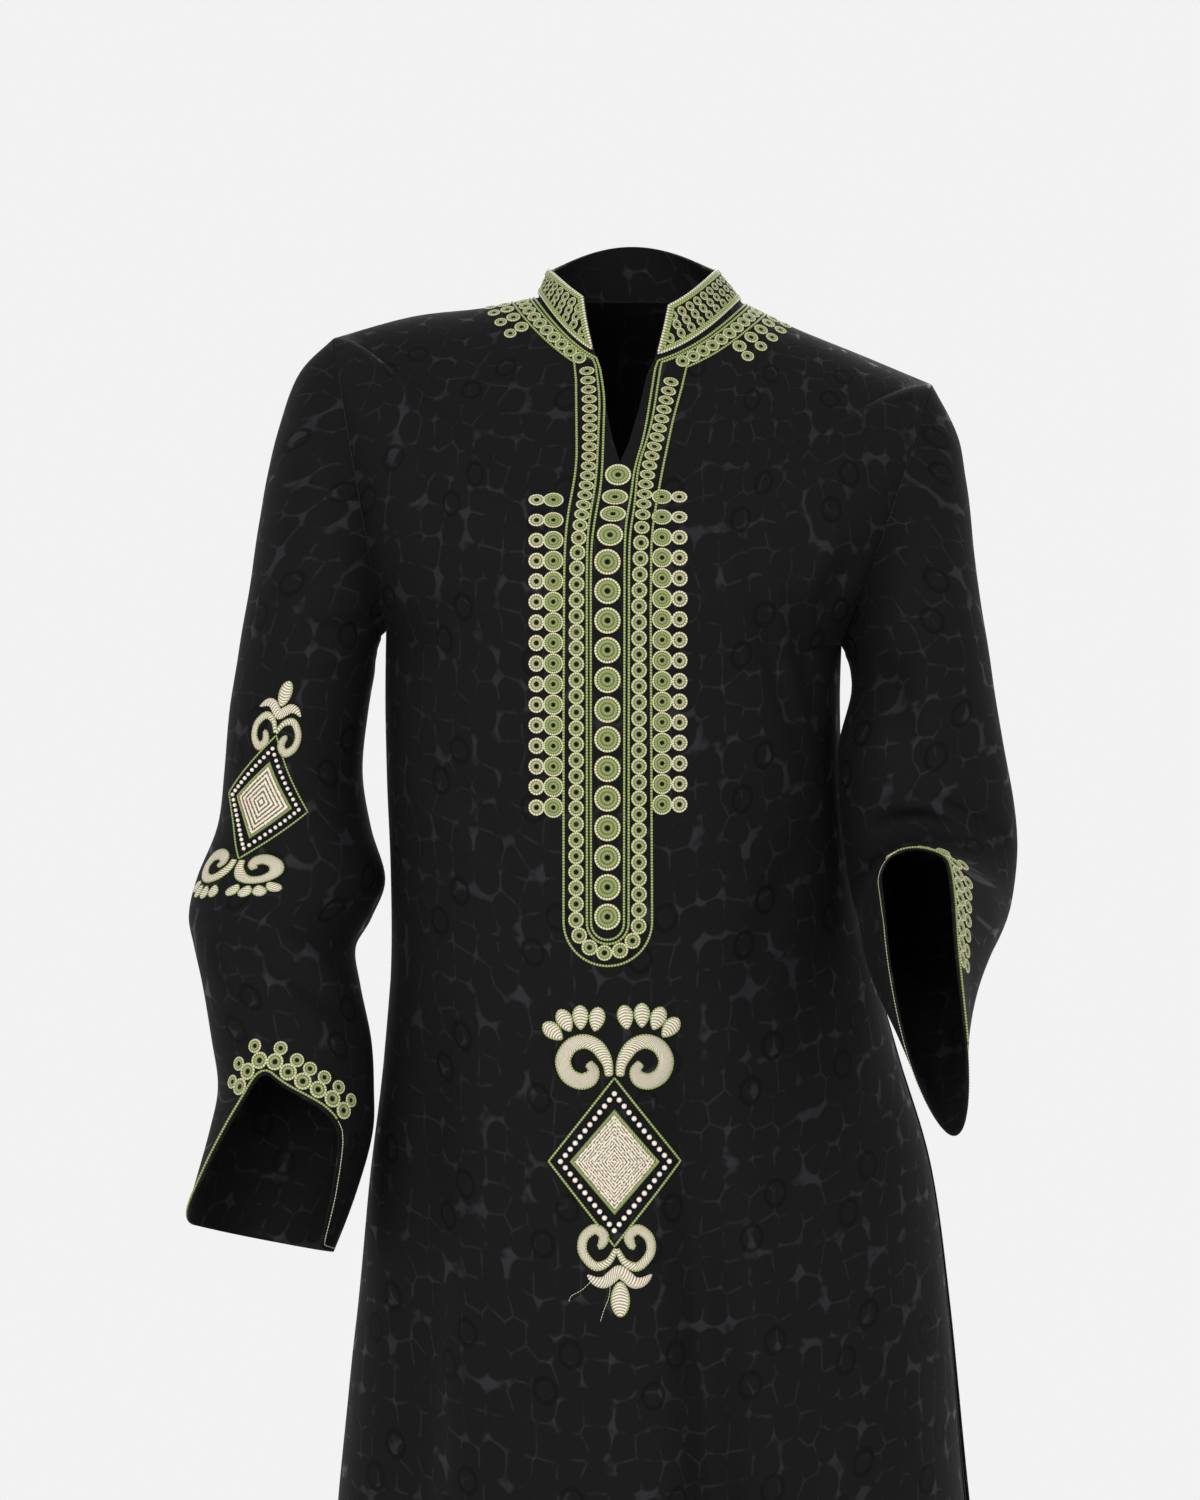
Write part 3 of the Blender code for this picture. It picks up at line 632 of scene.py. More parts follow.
@dataclass(frozen=True)
class JacquardFinish:
    """Black jacquard: matt crepe figures, thin satin outlines and satin gaps, the satin painted lighter.

    A jacquard loom floats the warp where it draws the figure, so those threads lie flat and shine
    while the rest stays dull. On black cloth that is the only thing that shows the pattern. The satin's
    colour is painted lighter than the matt's, a painted sheen added to the real shine of its lower roughness.
    """

    matt: str = "#0e0d0e"
    # The satin's colour, lighter than the matt's: painted sheen.
    satin: str = "#1f1d21"
    dark: str = "#070607"
    sheen: str = "#a8a4ac"
    figure_mm: Pair = (18.5, 23.0)
    repeat_mm: Pair = (78.0, 104.0)
    ring_mm: Pair = (18.0, 21.0)
    thread_mm: float = 1.1
    ring_places: tuple[Pair, ...] = ((0.30, 0.28), (0.54, 0.55))

    def build(self) -> Material:
        """Makes the material, its pattern laid out in metres on the piece's own UV map.

        Returns:
            The material.
        """
        material, tree, shader = new_material("black_jacquard_weave")
        soft = {"interpolation_type": "SMOOTHSTEP"}
        uv = add_node(tree, "ShaderNodeUVMap", uv_map="UVMap")
        warp = add_node(tree, "ShaderNodeTexNoise", {"Vector": uv, "Scale": 26.0, "Detail": 1.0})
        shift = {0: warp.outputs["Color"], 1: (0.007, 0.007, 0), 2: uv}
        bent = add_node(tree, "ShaderNodeVectorMath", shift, operation="MULTIPLY_ADD")
        spacing = {0: bent, 1: (1000 / self.figure_mm[0], 1000 / self.figure_mm[1], 0)}
        figures = add_node(tree, "ShaderNodeVectorMath", spacing, operation="MULTIPLY")
        cells = {"Vector": figures, "Scale": 1.0, "Randomness": 0.55}
        nearest, borders = (
            add_node(tree, "ShaderNodeTexVoronoi", cells, voronoi_dimensions="2D", feature=feature)
            for feature in ("F1", "DISTANCE_TO_EDGE")
        )
        gap = add_node(tree, "ShaderNodeMapRange", {0: nearest, 1: 0.54, 2: 0.64}, **soft)
        line = add_node(tree, "ShaderNodeMapRange", {0: borders, 1: 0.060, 2: 0.020, 4: 0.5}, **soft)
        patches = add_node(tree, "ShaderNodeTexNoise", {"Vector": uv, "Scale": 60.0, "Detail": 2.0})
        shown = add_node(tree, "ShaderNodeMapRange", {0: patches, 1: 0.42, 2: 0.60}, **soft)
        drawn = add_node(tree, "ShaderNodeMath", {0: gap, 1: line}, operation="MAXIMUM")
        satin = add_node(tree, "ShaderNodeMath", {0: drawn, 1: shown}, operation="MULTIPLY")
        # Where the satin shows, in the noise patches, its colour is painted lighter: painted sheen.
        tones = {"Factor": satin, 6: linear(self.matt), 7: linear(self.satin)}
        lit = add_node(tree, "ShaderNodeMix", tones, data_type="RGBA").outputs[2]
        tones = {"Factor": self._rings(tree, uv), 6: lit, 7: linear(self.dark)}
        threads = {"Vector": uv, "Scale": 1000 / self.thread_mm, "Detail": 2.0}
        weave = {0: satin, 1: 0.5, 2: add_node(tree, "ShaderNodeTexNoise", threads)}
        height = add_node(tree, "ShaderNodeMath", weave, operation="MULTIPLY_ADD")
        relief = {"Strength": 0.35, "Distance": 0.0004, "Height": height}
        fill_inputs(tree, shader, {
            "Base Color": add_node(tree, "ShaderNodeMix", tones, data_type="RGBA").outputs[2],
            "Normal": add_node(tree, "ShaderNodeBump", relief),
            "Roughness": add_node(tree, "ShaderNodeMapRange", {0: satin, 3: 0.74, 4: 0.46}),
            "Specular IOR Level": 0.09, "Sheen Weight": 0.02, "Sheen Roughness": 0.45,
            "Sheen Tint": linear(self.sheen),
        })
        return material

    def _rings(self, tree: Tree, uv: Node) -> Node:
        """The dark rings of the figure, two to each repeat.

        Args:
            tree: the material's tree.
            uv: its UV map's node.

        Returns:
            The node whose value is 1 on a ring.
        """
        spacing = {0: uv, 1: (1000 / self.repeat_mm[0], 1000 / self.repeat_mm[1], 0)}
        turns = add_node(tree, "ShaderNodeVectorMath", spacing, operation="MULTIPLY")
        cell = add_node(tree, "ShaderNodeVectorMath", {0: turns}, operation="FRACTION")
        stretch = [2 * repeat / ring for repeat, ring in zip(self.repeat_mm, self.ring_mm)]
        bands = []
        for place in self.ring_places:
            back = (-place[0] * stretch[0], -place[1] * stretch[1], 0)
            shift = {0: cell, 1: (*stretch, 0), 2: back}
            away = add_node(tree, "ShaderNodeVectorMath", shift, operation="MULTIPLY_ADD")
            reach = add_node(tree, "ShaderNodeVectorMath", {0: away}, operation="LENGTH").outputs["Value"]
            off = add_node(tree, "ShaderNodeMath", {0: reach, 1: 0.86}, operation="SUBTRACT")
            width = add_node(tree, "ShaderNodeMath", {0: off}, operation="ABSOLUTE")
            edge = {0: width, 1: 0.24, 2: 0.10}
            bands.append(add_node(tree, "ShaderNodeMapRange", edge, interpolation_type="SMOOTHSTEP"))
        return add_node(tree, "ShaderNodeMath", dict(enumerate(bands)), operation="MAXIMUM")


@dataclass(frozen=True)
class CoilFinish:
    """Rayon cord coiled flat and couched down: a pale beaded rim round a green body.

    Rayon thread is smooth and packed tight, so it shines softly along each turn of the cord. The
    grooves between the turns and the dips between the beads are painted darker: painted shade.
    """

    name: str
    rings: tuple[tuple[float, str], ...]
    groove_width: float
    # Painted shade in the grooves between the turns and at the hole's edge.
    groove_shade: str = "#2c3319"
    turns: int = 26

    def _colours(self, tree: Tree, radius: Socket) -> Node:
        """The colour from the hole to the rim, with painted shade in every groove.

        Args:
            tree: the material's tree.
            radius: the socket that gives the share of the radius.

        Returns:
            The node of the colour.
        """
        node = add_node(tree, "ShaderNodeValToRGB", {0: radius})
        ramp = node.color_ramp
        ramp.elements.remove(ramp.elements[1])
        ramp.elements[0].color = linear(self.groove_shade)
        for step, (groove, colour) in enumerate(self.rings):
            if step:
                ramp.elements.new(groove - self.groove_width).color = linear(self.rings[step - 1][1])
            ramp.elements.new(groove).color = linear(self.groove_shade)
            ramp.elements.new(groove + self.groove_width).color = linear(colour)
        return node

    def build(self) -> Material:
        """Makes the material, read from the coil's own UV map: turn, then radius.

        Returns:
            The material.
        """
        material, tree, shader = new_material(self.name)
        uv = add_node(tree, "ShaderNodeUVMap", uv_map="UVMap")
        parts = add_node(tree, "ShaderNodeSeparateXYZ", {0: uv})
        turned = {0: parts, 1: 2 * math.pi * self.turns}
        angle = add_node(tree, "ShaderNodeMath", turned, operation="MULTIPLY")
        beads = add_node(tree, "ShaderNodeMath", {0: angle}, operation="SINE")
        wave = add_node(tree, "ShaderNodeMapRange", {0: beads, 1: -0.9, 2: 0.3})
        # The colour is scaled down where the beads' relief dips: painted shade between the beads.
        shade = add_node(tree, "ShaderNodeMapRange", {0: wave, 3: 0.45, 4: 1.0})
        base = {0: self._colours(tree, parts.outputs[1]), "Scale": shade}
        relief = {"Strength": 0.6, "Distance": 0.0004, "Height": wave}
        fill_inputs(tree, shader, {
            "Base Color": add_node(tree, "ShaderNodeVectorMath", base, operation="SCALE"),
            "Normal": add_node(tree, "ShaderNodeBump", relief), "Roughness": 0.48, "Sheen Weight": 0.15,
        })
        return material


@dataclass(frozen=True)
class ThreadFinish:
    """Satin stitch: threads laid side by side across a shape, soft and lustrous.

    The stitches are drawn at twice the real thread's width, the finest that the picture shows.
    """

    name: str
    body: str
    # The tone between the stitch rows: painted shade, mixed with the thread's own flecks.
    shade: str
    roughness: float = 0.5
    stitch_mm: float = 1.1

    def build(self) -> Material:
        """Makes the material, its stitches square to the shape's length on its UV map.

        Returns:
            The material.
        """
        material, tree, shader = new_material(self.name)
        uv = add_node(tree, "ShaderNodeUVMap", uv_map="UVMap")
        bands = {"Vector": uv, "Scale": 1000 / self.stitch_mm / 6.28, "Distortion": 1.2, "Detail": 1.0}
        rows = add_node(tree, "ShaderNodeTexWave", bands, bands_direction="X").outputs["Fac"]
        flecks = add_node(tree, "ShaderNodeTexNoise", {"Vector": uv, "Scale": 700.0, "Detail": 2.0})
        grain = add_node(tree, "ShaderNodeMath", {0: rows, 1: flecks}, operation="MULTIPLY")
        spread = add_node(tree, "ShaderNodeMapRange", {0: grain, 1: 0.08, 2: 0.36})
        # Where the stitch rows dip, as the relief does, the colour goes to the shade tone: painted shade
        # between the stitches; the random flecks are the thread's own tone.
        tones = {"Factor": spread, 6: linear(self.shade), 7: linear(self.body)}
        relief = {"Strength": 0.5, "Distance": 0.0003, "Height": rows}
        fill_inputs(tree, shader, {
            "Base Color": add_node(tree, "ShaderNodeMix", tones, data_type="RGBA").outputs[2],
            "Normal": add_node(tree, "ShaderNodeBump", relief), "Roughness": self.roughness,
            "Sheen Weight": 0.12,
        })
        return material


@dataclass(frozen=True)
class WovenFinish:
    """Pale gold thread woven in rings of short stitches, with painted shade between them.

    Metal-wrapped thread catches the light stitch by stitch; here that speckle is painted into the colour, as
    painted shade where the rings and stitches dip.
    """

    name: str = "pale_gold_woven_fill"
    ring_mm: float = 1.9
    ring_depth: float = 0.16
    stitch_mm: float = 1.5
    pale: str = "#d8ccb4"
    # Painted shade where the rings and stitches dip.
    stitch_shade: str = "#4b4238"

    def build(self) -> Material:
        """Makes the material, its rings about the middle of the shape's UV map.

        Returns:
            The material.
        """
        material, tree, shader = new_material(self.name)
        uv = add_node(tree, "ShaderNodeUVMap", uv_map="UVMap")
        away = add_node(tree, "ShaderNodeVectorMath", {0: uv}, operation="ABSOLUTE")
        parts = add_node(tree, "ShaderNodeSeparateXYZ", {0: away})
        reach = add_node(tree, "ShaderNodeMath", {0: parts, 1: parts.outputs[1]}, operation="MAXIMUM")
        pitch = {0: reach, 1: 2000 * math.pi / self.ring_mm}
        phase = add_node(tree, "ShaderNodeMath", pitch, operation="MULTIPLY")
        rings = add_node(tree, "ShaderNodeMath", {0: phase}, operation="SINE")
        stitches = {"Vector": uv, "Scale": 1000 / self.stitch_mm, "Detail": 1.0}
        woven = {0: rings, 1: self.ring_depth, 2: add_node(tree, "ShaderNodeTexNoise", stitches)}
        height = add_node(tree, "ShaderNodeMath", woven, operation="MULTIPLY_ADD")
        # The colour follows the relief's height: the thread's pale where it rises, painted shade where it
        # dips.
        shown = add_node(tree, "ShaderNodeMapRange", {0: height, 1: 0.34, 2: 0.58})
        tones = {"Factor": shown, 6: linear(self.stitch_shade), 7: linear(self.pale)}
        relief = {"Strength": 0.5, "Distance": 0.0004, "Height": height}
        fill_inputs(tree, shader, {
            "Base Color": add_node(tree, "ShaderNodeMix", tones, data_type="RGBA").outputs[2],
            "Normal": add_node(tree, "ShaderNodeBump", relief), "Roughness": 0.45,
        })
        return material


@dataclass(frozen=True)
class PearlFinish:
    """Moulded acrylic pearls: a milky body under a glossy skin, so each has one small highlight."""

    body: str = "#e9e2d6"
    shade: str = "#cfc4b8"

    def build(self) -> Material:
        """Makes the material, with a slow change of tint from pearl to pearl.

        Returns:
            The material.
        """
        material, tree, shader = new_material("moulded_acrylic_pearl")
        place = add_node(tree, "ShaderNodeTexCoord").outputs["Object"]
        tint = add_node(tree, "ShaderNodeTexNoise", {"Vector": place, "Scale": 160.0})
        tones = {"Factor": tint, 6: linear(self.shade), 7: linear(self.body)}
        colour = add_node(tree, "ShaderNodeMix", tones, data_type="RGBA").outputs[2]
        fill_inputs(tree, shader, {"Base Color": colour, "Roughness": 0.22, "Coat Weight": 0.5})
        return material


@dataclass(frozen=True)
class Finishes:
    """Every finish of the kaftan, made once."""

    jacquard: Material
    coil: Material
    small_coil: Material
    pale_coil: Material
    green: Material
    gold: Material
    fill: Material
    ringed_fill: Material
    black: Material
    pearl: Material

    @classmethod
    def make(cls) -> "Finishes":
        """Builds the materials.

        Returns:
            The finishes.
        """
        return cls(
            jacquard=JacquardFinish().build(),
            coil=CoilFinish(
                "coiled_rayon_cord", ((0.20, "#8f9a56"), (0.51, "#8e9c55"), (0.80, "#d8d4a8")), 0.05
            ).build(),
            small_coil=CoilFinish(
                "fine_coiled_rayon_cord", ((0.28, "#97a35e"), (0.68, "#cdcb98")), 0.11, turns=16
            ).build(),
            pale_coil=CoilFinish(
                "pale_coiled_rayon_cord", ((0.28, "#b4b57c"), (0.68, "#dcd8b0")), 0.11, turns=16
            ).build(),
            green=ThreadFinish("green_rayon_satin_stitch", "#98a760", "#56642f").build(),
            gold=ThreadFinish("pale_gold_satin_stitch", "#d9d1b8", "#7d7360", 0.42).build(),
            fill=WovenFinish().build(), ringed_fill=WovenFinish("pale_gold_ringed_fill", 3.0, 0.30).build(),
            black=ThreadFinish("black_polyester_thread", "#141314", "#080808").build(),
            pearl=PearlFinish().build(),
        )


class Slab(NamedTuple):
    """A closed wall's points, faces and the UV of each face's corners."""

    points: Array
    faces: list[list[int]]
    uvs: Array


def slab(top: Array, bottom: Array, uv: Array, ring: bool = False, parted: int | None = None) -> Slab:
    """A closed wall between two grids of points, with rims along every free edge.

    Args:
        top: the outer points, rows running down.
        bottom: the inner points, one for each outer point.
        uv: the outer points' places on the flat cloth, with one more column on a ring.
        ring: whether the last column meets the first.
        parted: a column after which the wall is parted, where its points lie apart.

    Returns:
        The wall, its faces pointing out.
    """
    rows, columns = top.shape[:2]
    count = rows * columns
    ids = np.arange(count).reshape(rows, columns)
    keep = np.ones((rows - 1, columns if ring else columns - 1), bool)
    if parted is not None:
        joined = np.linalg.norm(top[:, parted] - top[:, parted + 1], axis=-1) < 1e-6
        ids[joined, parted + 1] = ids[joined, parted]
        keep[:, parted] = False
    if ring:
        ids = np.concatenate((ids, ids[:, :1]), axis=1)
    a, b, c, d = ids[:-1, :-1], ids[:-1, 1:], ids[1:, :-1], ids[1:, 1:]
    quads = np.stack((a, c, d, b), axis=-1)[keep]
    corners = np.stack((uv[:-1, :-1], uv[1:, :-1], uv[1:, 1:], uv[:-1, 1:]), axis=2)[keep]
    edges = np.stack((quads, np.roll(quads, -1, axis=1)), axis=-1).reshape(-1, 2)
    edge_uvs = np.stack((corners, np.roll(corners, -1, axis=1)), axis=2).reshape(-1, 2, 2)
    code = edges[:, 0] * count + edges[:, 1]
    free = ~np.isin(edges[:, 1] * count + edges[:, 0], code)
    first, second = edges[free].T
    rims = np.stack((second, first, first + count, second + count), axis=-1)
    rim_uvs = edge_uvs[free][:, [1, 0, 0, 1]]
    faces = np.concatenate((quads, quads[:, ::-1] + count, rims))
    uvs = np.concatenate((corners, corners[:, ::-1], rim_uvs))
    used, place = np.unique(faces, return_inverse=True)
    points = np.concatenate((top.reshape(-1, 3), bottom.reshape(-1, 3)))[used]
    return Slab(points, place.reshape(faces.shape).tolist(), uvs.reshape(-1, 2))


def new_piece(name: str, parts: Sequence[Slab], material: Material, sharp: float = 50) -> Piece:
    """An object made of closed walls.

    Args:
        name: the piece's name.
        parts: the walls.
        material: its finish.
        sharp: edges that turn more than these degrees are shaded sharp.

    Returns:
        The object, linked into the scene.
    """
    points: list[Array] = []
    faces: list[list[int]] = []
    start = 0
    for part in parts:
        points.append(part.points)
        faces += [[corner + start for corner in face] for face in part.faces]
        start += len(part.points)
    mesh = bpy.data.meshes.new(name)
    mesh.from_pydata(np.concatenate(points).tolist(), [], faces)
    layer = mesh.uv_layers.new(name="UVMap")
    layer.data.foreach_set("uv", np.concatenate([part.uvs for part in parts]).astype(np.float32).ravel())
    mesh.shade_smooth()
    mesh.set_sharp_from_angle(angle=math.radians(sharp))
    mesh.materials.append(material)
    piece = bpy.data.objects.new(name, mesh)
    bpy.context.scene.collection.objects.link(piece)
    return piece


def ride(piece: Piece, slot: Slot, *nodes: str) -> Piece:
    """Makes a piece move with the body and stand for the nodes it replaces.

    Args:
        piece: the piece, whose faces and area are logged.
        slot: not used.
        nodes: the CAD nodes it replaces.

    Returns:
        The piece.
    """
    area = sum(face.area for face in piece.data.polygons)
    LOG.info("%s: %d faces, %.4f square metres", piece.name, len(piece.data.polygons), area)
    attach(piece, BODY)
    if nodes:
        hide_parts(*nodes)
    return piece


class Spot(NamedTuple):
    """A place on the cloth, with its normal."""

    point: Array
    normal: Array


@dataclass
class Cloth:
    """A piece of cloth: a fine wall on its node's form, with listed creases."""

    name: str
    form: Array
    thickness: float
    flat: Pair
    area: float
    rests_on: tuple[str, ...]
    creases: tuple[Crease, ...] = ()
    ring: bool = False
    parted: int | None = None
    held: str = "hung"
    seam_ease: float = 0.0002
    end_ease: bool = False
    seam_reach: float = 0.014
    free_ends: bool = False
    unevenness: float = 0.0006

    def __post_init__(self) -> None:
        """Shapes the outer face."""
        self.outer = self._creased()
        self.normals = self._normals(self.outer)

    def _normals(self, grid: Array) -> Array:
        """The outward normals, found on each side of a slit by itself.

        Args:
            grid: the cloth's points.

        Returns:
            A normal for each point.
        """
        if self.parted is None:
            return outward(grid, self.ring)
        halves = (grid[:, : self.parted + 1], grid[:, self.parted + 1 :])
        return np.concatenate([outward(half) for half in halves], axis=1)

    def _taper(self) -> Array:
        """How much each point may move: nothing on a seam, all of it a little way in.

        Returns:
            A share for each point.
        """
        grid = self.form
        share = smooth_step(lengths_along(grid, axis=0) / self.seam_reach)
        if not self.ring and not self.free_ends:
            across = lengths_along(grid, axis=1)
            share = share * smooth_step(across / self.seam_reach)
            share = share * smooth_step((across[:, -1:] - across) / self.seam_reach)
        return share

    def _creased(self) -> Array:
        """The form's points, moved by the creases and by the cloth's small unevenness.

        Returns:
            The points.
        """
        grid, normals = self.form, self._normals(self.form)
        seen = grid[..., [0, 2]]
        out = np.zeros(grid.shape[:2])
        for crease in self.creases:
            steps = np.linspace(0, len(crease.route) - 1, 36)
            line = through(crease.route, steps)
            reach = 3.2 * crease.width
            near = np.all((seen > line.min(0) - reach) & (seen < line.max(0) + reach), axis=-1)
            facing = normals[near][:, 1] * crease.face.value
            away = np.linalg.norm(seen[near][:, None] - line, axis=-1)
            ends = np.sin(math.pi * (away.argmin(axis=1) + 0.5) / len(line)) ** 0.6
            shape = np.exp(-((away.min(axis=1) / crease.width) ** 2)) * ends
            out[near] += crease.height * shape * smooth_step(facing * 2.2 + 0.15)
        x, z = grid[..., 0] + 0.6 * grid[..., 1], grid[..., 2]
        waves = np.sin(x / 0.021 + 1.9 * np.sin(z / 0.061)) * np.sin(z / 0.043 + 1.6 * np.sin(x / 0.037))
        out += self.unevenness * waves
        moved = grid + normals * (out * self._taper())[..., None]
        if self.parted is not None:
            left, right = self.parted, self.parted + 1
            joined = np.linalg.norm(grid[:, left] - grid[:, right], axis=-1) < 1e-6
            middle = (moved[joined, left] + moved[joined, right]) / 2
            moved[joined, left] = middle
            moved[joined, right] = middle
        return moved

    @cached_property
    def tree(self) -> BVHTree:
        """The outer face, for finding places on it.

        Returns:
            The tree.
        """
        rows, columns = self.outer.shape[:2]
        faces = []
        for row in range(rows - 1):
            for column in range(columns if self.ring else columns - 1):
                if column == self.parted:
                    continue
                a, b = row * columns + column, row * columns + (column + 1) % columns
                faces.append((a, a + columns, b + columns, b))
        return BVHTree.FromPolygons(self.outer.reshape(-1, 3).tolist(), faces)

    @cached_property
    def uv(self) -> Array:
        """The points' places on the flat cloth, in metres, with one more column on a ring.

        Returns:
            The places.
        """
        grid = np.concatenate((self.outer, self.outer[:, :1]), axis=1) if self.ring else self.outer
        middle = grid.shape[1] // 2
        across = lengths_along(grid, axis=1)
        across = across - across[:, middle : middle + 1]
        down = lengths_along(grid, axis=0)
        anchor = grid.shape[0] // 3
        return np.stack((across, down[anchor : anchor + 1] - down), axis=-1)

    def from_front(self, x: Array, z: Array) -> Spot:
        """Places on the face behind the points (x, z), as seen level from the front.

        Args:
            x: how far to the wearer's left.
            z: how high.

        Returns:
            The places, with their normals.
        """
        points, normals = [], []
        for across, up in zip(np.ravel(x), np.ravel(z)):
            point, normal, _, _ = self.tree.ray_cast((across, -1, up), (0, 1, 0))
            if point is None:
                point, normal, _, _ = self.tree.find_nearest((across, -0.1, up))
            points.append(tuple(point))
            normals.append(tuple(normal))
        shape = np.shape(x) + (3,)
        return Spot(np.array(points).reshape(shape), np.array(normals).reshape(shape))

    def nearest(self, places: Array) -> Spot:
        """The face's points nearest to some places.

        Args:
            places: points in space.

        Returns:
            The points on the face, with their normals.
        """
        found = [self.tree.find_nearest(tuple(place)) for place in places.reshape(-1, 3)]
        points = np.array([tuple(hit[0]) for hit in found]).reshape(places.shape)
        normals = np.array([tuple(hit[1]) for hit in found]).reshape(places.shape)
        return Spot(points, normals)

    def dress(self, material: Material) -> Piece:
        """Args:
            material: the finish.

        Returns:
            The piece.
        """
        inner = self.outer - self.normals * self.thickness
        top = self.outer.copy()
        for face in (top, inner):
            face[0] += unit(face[1] - face[0]) * self.seam_ease
            if self.end_ease:
                face[:, 0] += unit(face[:, 1] - face[:, 0]) * self.seam_ease
                face[:, -1] += unit(face[:, -2] - face[:, -1]) * self.seam_ease
        piece = new_piece(
            f"{self.name}_cloth", [slab(top, inner, self.uv, self.ring, self.parted)], material
        )
        ride(piece, Slot.JACQUARD, self.name)
        return piece


class Marks(NamedTuple):
    """Places for a repeated part: its points, and its turn and size at each of them."""

    points: Array
    turns: Array
    sizes: Array


def turns_on(normals: Array, along: Array) -> Array:
    """Euler turns that stand Z on each normal.

    Args:
        normals: the directions for Z.
        along: the directions that X keeps as near to as can be.

    Returns:
        A turn for each normal.
    """
    across = unit(np.cross(normals, along))
    level = np.cross(across, normals)
    return np.array([Matrix(np.stack(axes, axis=-1)).to_euler()[:] for axes in zip(level, across, normals)])


def walk(points: Array, step: float | Callable[[Array], float]) -> Array:
    """Points along a path.

    Args:
        points: the path.
        step: the length between them, or a function that gives it at the last one.

    Returns:
        The points found.
    """
    along = lengths_along(points)
    if not callable(step):
        count = max(2, round(along[-1] / step) + 1)
        at = np.linspace(0, along[-1], count)
        return np.stack([np.interp(at, along, points[:, axis]) for axis in range(points.shape[1])], axis=-1)
    found, place = [], 0.0
    while place <= along[-1]:
        here = np.array([np.interp(place, along, points[:, axis]) for axis in range(points.shape[1])])
        found.append(here)
        place += step(here)
    return np.array(found)


def sample(grid: Array, row: Array, column: Array) -> Array:
    """A grid's points at fractional rows and columns.

    Args:
        grid: the points, by row and column.
        row: the rows wanted.
        column: the columns wanted, of the same shape.

    Returns:
        A point for each row and column.
    """
    rows, columns = grid.shape[:2]
    row = np.clip(np.asarray(row, float), 0, rows - 1)
    column = np.clip(np.asarray(column, float), 0, columns - 1)
    top = np.minimum(row.astype(int), rows - 2)
    left = np.minimum(column.astype(int), columns - 2)
    down, over = (row - top)[..., None], (column - left)[..., None]
    upper = grid[top, left] * (1 - over) + grid[top, left + 1] * over
    lower = grid[top + 1, left] * (1 - over) + grid[top + 1, left + 1] * over
    return upper * (1 - down) + lower * down


class Loop(NamedTuple):
    """A line down the slit's right arm, round the placket's foot and up its left arm."""

    right: tuple[Pair, ...]
    left: tuple[Pair, ...]
    foot: float

    @staticmethod
    def _softened(route: Sequence[Pair]) -> Array:
        """A route's points, 2 mm apart, its corners rounded and its ends kept.

        Args:
            route: its few places.

        Returns:
            The points.
        """
        line = walk(np.array(route), 0.002)
        padded = np.pad(line, ((5, 5), (0, 0)), mode="reflect", reflect_type="odd")
        return np.stack([np.convolve(column, np.ones(11) / 11, "valid") for column in padded.T], axis=-1)

    def path(self) -> Array:
        """The line's (x, z) points, a millimetre or two apart.

        Returns:
            The points.
        """
        right = self._softened(self.right)
        left = self._softened(self.left)[::-1]
        turn = np.linspace(math.pi, 2 * math.pi, 40)[1:-1]
        middle = (right[-1] + left[0]) / 2
        half = (left[0, 0] - right[-1, 0]) / 2
        drop = middle[1] - self.foot
        foot = np.stack((middle[0] + half * np.cos(turn), middle[1] + drop * np.sin(turn)), axis=-1)
        return np.concatenate((right, foot, left))

    def outside(self, points: Array, margin: float) -> Array:
        """Which points are behind the body, or outside the line by a margin, as seen from the front.

        Args:
            points: points in space.
            margin: the least distance outside the line.

        Returns:
            True for each such point.
        """
        right, left = (np.array(route)[::-1] for route in (self.right, self.left))
        from_right = np.interp(points[..., 2], right[:, 1], right[:, 0]) - points[..., 0]
        from_left = points[..., 0] - np.interp(points[..., 2], left[:, 1], left[:, 0])
        return (points[..., 1] > 0) | (from_right > margin) | (from_left > margin)


def node_group(name: str, inputs: dict[str, str]) -> tuple[Tree, Node]:
    """A Geometry Nodes tree with named inputs, and its input node.

    Args:
        name: the tree's name.
        inputs: the type of socket of each input, by name.

    Returns:
        The tree and its input node.
    """
    tree = bpy.data.node_groups.new(name, "GeometryNodeTree")
    tree.interface.new_socket("Geometry", in_out="INPUT", socket_type="NodeSocketGeometry")
    for label, kind in inputs.items():
        tree.interface.new_socket(label, in_out="INPUT", socket_type=kind)
    tree.interface.new_socket("Geometry", in_out="OUTPUT", socket_type="NodeSocketGeometry")
    return tree, add_node(tree, "NodeGroupInput")


def close_group(tree: Tree, start: Node, made: Node) -> Tree:
    """Ends a tree: what it made becomes a plain mesh with the tree's own material.

    Args:
        tree: the tree.
        start: its input node.
        made: the node that made the pieces.

    Returns:
        The tree.
    """
    real = add_node(tree, "GeometryNodeRealizeInstances", {0: made})
    dressed = {"Geometry": real, "Material": start.outputs["Material"]}
    add_node(tree, "NodeGroupOutput", {0: add_node(tree, "GeometryNodeSetMaterial", dressed)})
    return tree


def scatter_tree() -> Tree:
    """The tree that sets a part on every point, by the points' own turn and size.

    Returns:
        The tree.
    """
    inputs = {"Part": "NodeSocketObject", "Material": "NodeSocketMaterial"}
    tree, start = node_group("parts_on_points", inputs)
    part = add_node(tree, "GeometryNodeObjectInfo", {"Object": start.outputs["Part"]})
    turn, size = (
        add_node(tree, "GeometryNodeInputNamedAttribute", {"Name": name}, data_type="FLOAT_VECTOR")
        for name in ("turn", "size")
    )
    placed = add_node(tree, "GeometryNodeInstanceOnPoints", {
        "Points": start, "Instance": part.outputs["Geometry"],
        "Rotation": add_node(tree, "FunctionNodeEulerToRotation", {0: turn}), "Scale": size,
    })
    return close_group(tree, start, placed)


